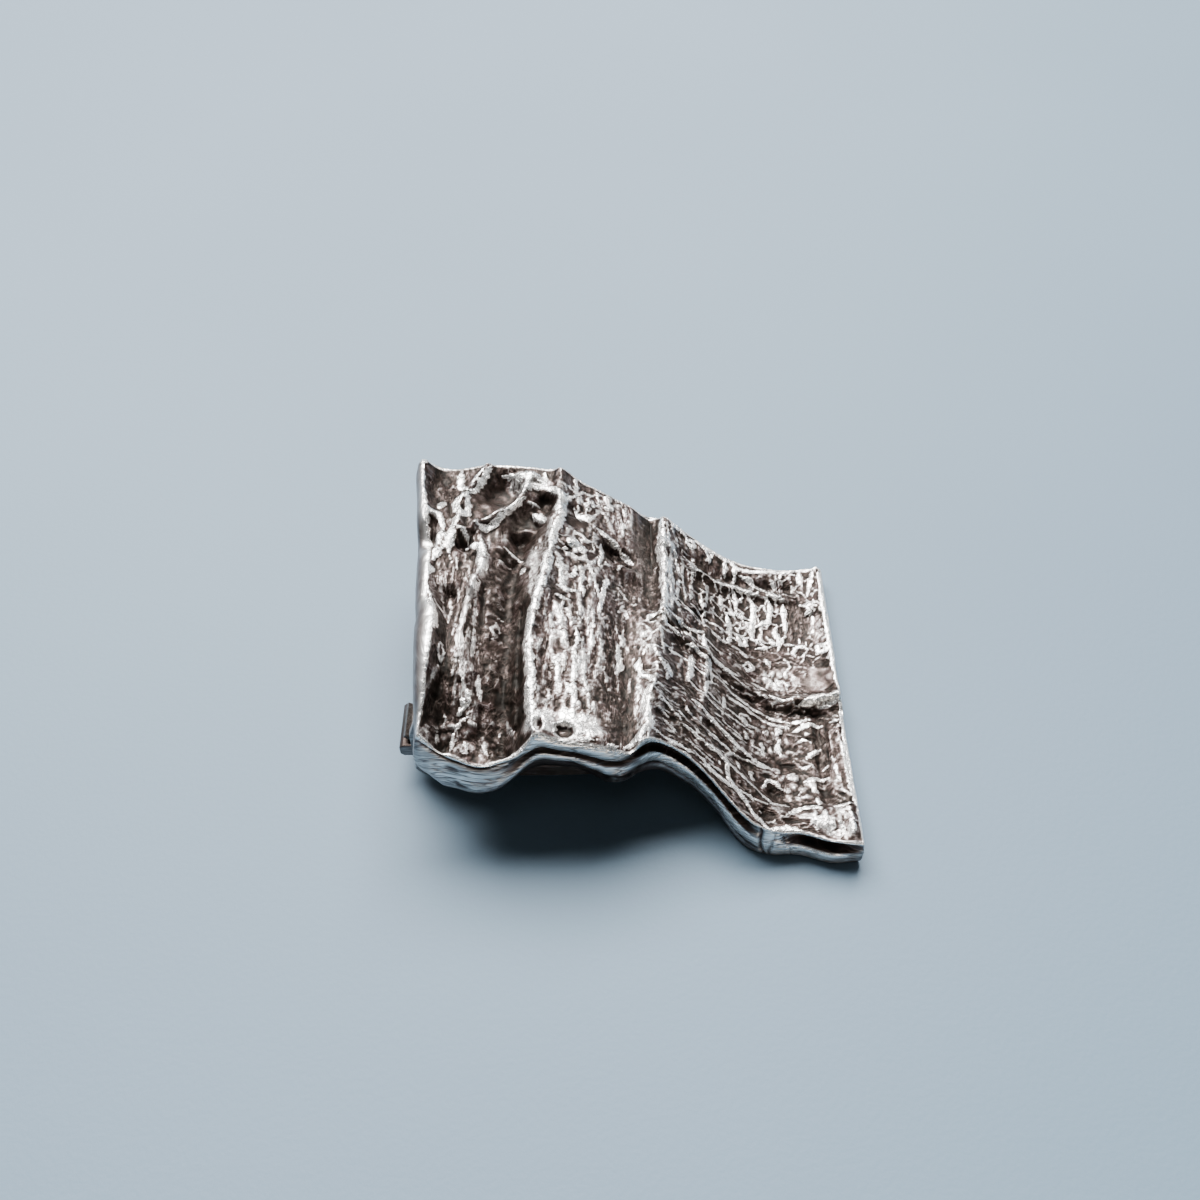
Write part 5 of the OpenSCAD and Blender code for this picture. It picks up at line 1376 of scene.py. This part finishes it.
# %% Cradle mesh
# Fine level streaks, as on rolled metal
BRUSHED = (-1, 0, 0.7)
EAR_BEVEL, BASE_BEVEL, BASE_OVERLAP = 0.07, 0.05, 0.1
ear_shift = (CRADLE_WIDTH - EAR_THICKNESS) / 2
base_outline = [(EAR_FRONT, 3.8), (EAR_FRONT, 4.9), (-1.2, 6.6), (-2.1, 3.8)]
base_width = CRADLE_WIDTH - 2 * EAR_THICKNESS + 2 * BASE_OVERLAP
ears = [(standing_slab("ear", [ear_outline(), circle_outline(EAR_HOLE_R)], EAR_THICKNESS, EAR_BEVEL), shift)
        for shift in (-ear_shift, ear_shift)]
base = (standing_slab("base", [base_outline], base_width, BASE_BEVEL), 0)
hinge_cradle = join([*ears, base], "hinge_cradle")

def points_of(obj):
    """Places of an object's points, in millimetres."""
    return np.array([v.co for v in obj.data.vertices]) / MM

cradle_x, _, cradle_z = points_of(hinge_cradle).T
cradle_polish = 0.5 + 0.2 * rough_noise(cradle_x / 0.9, cradle_z / 0.9, 1)
give_polish(hinge_cradle, np.clip(cradle_polish, 0, 1), BRUSHED)
hinge_cradle.data.materials.append(cradle_silver)
hinge_cradle.data.shade_smooth()
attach(hinge_cradle, "plate")

# %% [markdown]
# Lever
# The lever's solid has its true shape, but with hard edges. A copy of its mesh is merged, cleaned of
# the lines inside its flat faces, and given a small bevel that catches the light.

# %% Lever mesh
LEVER_BEVEL, FLAT_ANGLE, SHARP_ANGLE = 0.07, math.radians(1), math.radians(28)

def softened_copy(node, name, bevel):
    """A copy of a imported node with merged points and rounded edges."""
    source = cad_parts[node]
    form = bmesh.new()
    form.from_mesh(source.data)
    bmesh.ops.transform(form, matrix=source.matrix_world, verts=form.verts)
    bmesh.ops.remove_doubles(form, verts=form.verts, dist=2e-6)
    bmesh.ops.dissolve_limit(form, angle_limit=FLAT_ANGLE, verts=form.verts, edges=form.edges)
    sharp = [e for e in form.edges if len(e.link_faces) == 2 and e.calc_face_angle(0) > SHARP_ANGLE]
    bmesh.ops.bevel(form, geom=sharp, offset=bevel * MM, segments=3, affect="EDGES", profile=0.5,
                    clamp_overlap=True)
    mesh = bpy.data.meshes.new(name)
    form.to_mesh(mesh)
    open_edges = sum(len(e.link_faces) != 2 for e in form.edges)
    form.free()
    print(name, "bevelled edges:", len(sharp), "open edges:", open_edges)
    return add_object(name, mesh)

lever = softened_copy("clip_lever", "lever", LEVER_BEVEL)
lever_x, lever_y, _ = points_of(lever).T
# Faces that look up are painted darker, as shade under the plate, and faces that look down lighter
facing_up = np.array([v.normal.z for v in lever.data.vertices])
brushed = noise(lever_x / 3, lever_y / 0.3, 1)
give_polish(lever, np.clip(0.5 - 0.18 * facing_up + 0.1 * brushed, 0, 1), BRUSHED)
lever.data.materials.append(lever_silver)
lever.data.shade_smooth()
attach(lever, "lever")
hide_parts("clip_lever")

# %% [markdown]
# Leaf spring
# The spring is a strip that follows a bent line, so Geometry Nodes draw it: a curve through the line's
# places, with a flat rounded section carried along it. The width and thickness are inputs of the tree.

# %% Leaf tree
# x and z of the leaf's middle line, from the pivot
LEAF_LINE = [
    (2, 3.57), (1.1, 3.57), (0.2, 3.5), (-0.6, 3.1), (-1.15, 2.4), (-1.5, 1.6), (-1.95, 1), (-2.6, 0.92),
    (-3.05, 1.15),
]
LEAF_WIDTH, LEAF_THICKNESS, LEAF_CORNER = 2.8, 0.35, 0.08
LEAF_SIZES = {"Width": LEAF_WIDTH * MM, "Thickness": LEAF_THICKNESS * MM, "Corner": LEAF_CORNER * MM}

def strip_tree():
    """Sweeps a flat section with rounded corners along a curve."""
    tree = bpy.data.node_groups.new("bent_strip", "GeometryNodeTree")
    face = tree.interface
    face.new_socket("Path", in_out="INPUT", socket_type="NodeSocketGeometry")
    for name, value in LEAF_SIZES.items():
        face.new_socket(name, in_out="INPUT", socket_type="NodeSocketFloat").default_value = value
    face.new_socket("Finish", in_out="INPUT", socket_type="NodeSocketMaterial")
    face.new_socket("Strip", in_out="OUTPUT", socket_type="NodeSocketGeometry")
    given, result = tree.nodes.new("NodeGroupInput"), tree.nodes.new("NodeGroupOutput")
    section = tree.nodes.new("GeometryNodeCurvePrimitiveQuadrilateral")
    tree.links.new(given.outputs["Width"], section.inputs["Width"])
    tree.links.new(given.outputs["Thickness"], section.inputs["Height"])
    rounded = add(tree, "GeometryNodeFilletCurve", "corners", mode="POLY", Count=3)
    tree.links.new(section.outputs["Curve"], rounded.inputs["Curve"])
    tree.links.new(given.outputs["Corner"], rounded.inputs["Radius"])
    swept = tree.nodes.new("GeometryNodeCurveToMesh")
    swept.inputs["Fill Caps"].default_value = True
    tree.links.new(given.outputs["Path"], swept.inputs["Curve"])
    tree.links.new(rounded.outputs["Curve"], swept.inputs["Profile Curve"])
    real = tree.nodes.new("GeometryNodeRealizeInstances")
    painted = tree.nodes.new("GeometryNodeSetMaterial")
    tree.links.new(swept.outputs["Mesh"], real.inputs["Geometry"])
    tree.links.new(real.outputs["Geometry"], painted.inputs["Geometry"])
    tree.links.new(given.outputs["Finish"], painted.inputs["Material"])
    tree.links.new(painted.outputs["Geometry"], result.inputs["Strip"])
    return tree

strip = strip_tree()
print("strip inputs:", [s.name for s in strip.interface.items_tree if s.in_out == "INPUT"])

# %% Run a tree
def run_tree(name, carrier, tree, inputs):
    """The plain mesh that a tree makes from a carrier, with its inputs set by identifier."""
    modifier = carrier.modifiers.new(tree.name, "NODES")
    modifier.node_group = tree
    sockets = {s.name: s.identifier for s in tree.interface.items_tree if s.in_out == "INPUT"}
    for socket, value in inputs.items():
        modifier[sockets[socket]] = value
    carrier.data.update_tag()
    mesh = bpy.data.meshes.new_from_object(carrier.evaluated_get(bpy.context.evaluated_depsgraph_get()))
    mesh.name = name
    carrier.modifiers.remove(modifier)
    bpy.data.objects.remove(carrier)
    print(name, "points:", len(mesh.vertices))
    return add_object(name, mesh)

def path_object(name, points):
    """A curve object that runs straight from place to place, with its section kept upright."""
    curve = bpy.data.curves.new(name, "CURVE")
    curve.dimensions, curve.twist_mode = "3D", "Z_UP"
    spline = curve.splines.new("POLY")
    spline.points.add(len(points) - 1)
    spline.points.foreach_set("co", [float(c) for p in points for c in (*p, 1)])
    return add_object(name, curve)

# %% Leaf mesh
LEAF_PLACES = 49
leaf_shares = np.linspace(0, 1, LEAF_PLACES)
leaf_x, leaf_z = (along(values, leaf_shares) for values in zip(*LEAF_LINE))
leaf_path = path_object("leaf_path", to_row(PIVOT + np.stack([leaf_x, 0 * leaf_x, leaf_z], 1)))
leaf = run_tree("leaf", leaf_path, strip, {**LEAF_SIZES, "Finish": leaf_steel})
leaf_points = points_of(leaf)
give_polish(leaf, np.clip(0.45 + 0.12 * noise(leaf_points[:, 1] / 0.25, leaf_points[:, 2] / 3, 0), 0, 1))
leaf.data.shade_smooth()
# The leaf is seated against the cradle's base, above the pivot
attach(leaf, "plate")
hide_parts("leaf_spring")
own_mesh(leaf)
print("leaf, mm:", np.round(leaf_points.min(0), 2), np.round(leaf_points.max(0), 2))
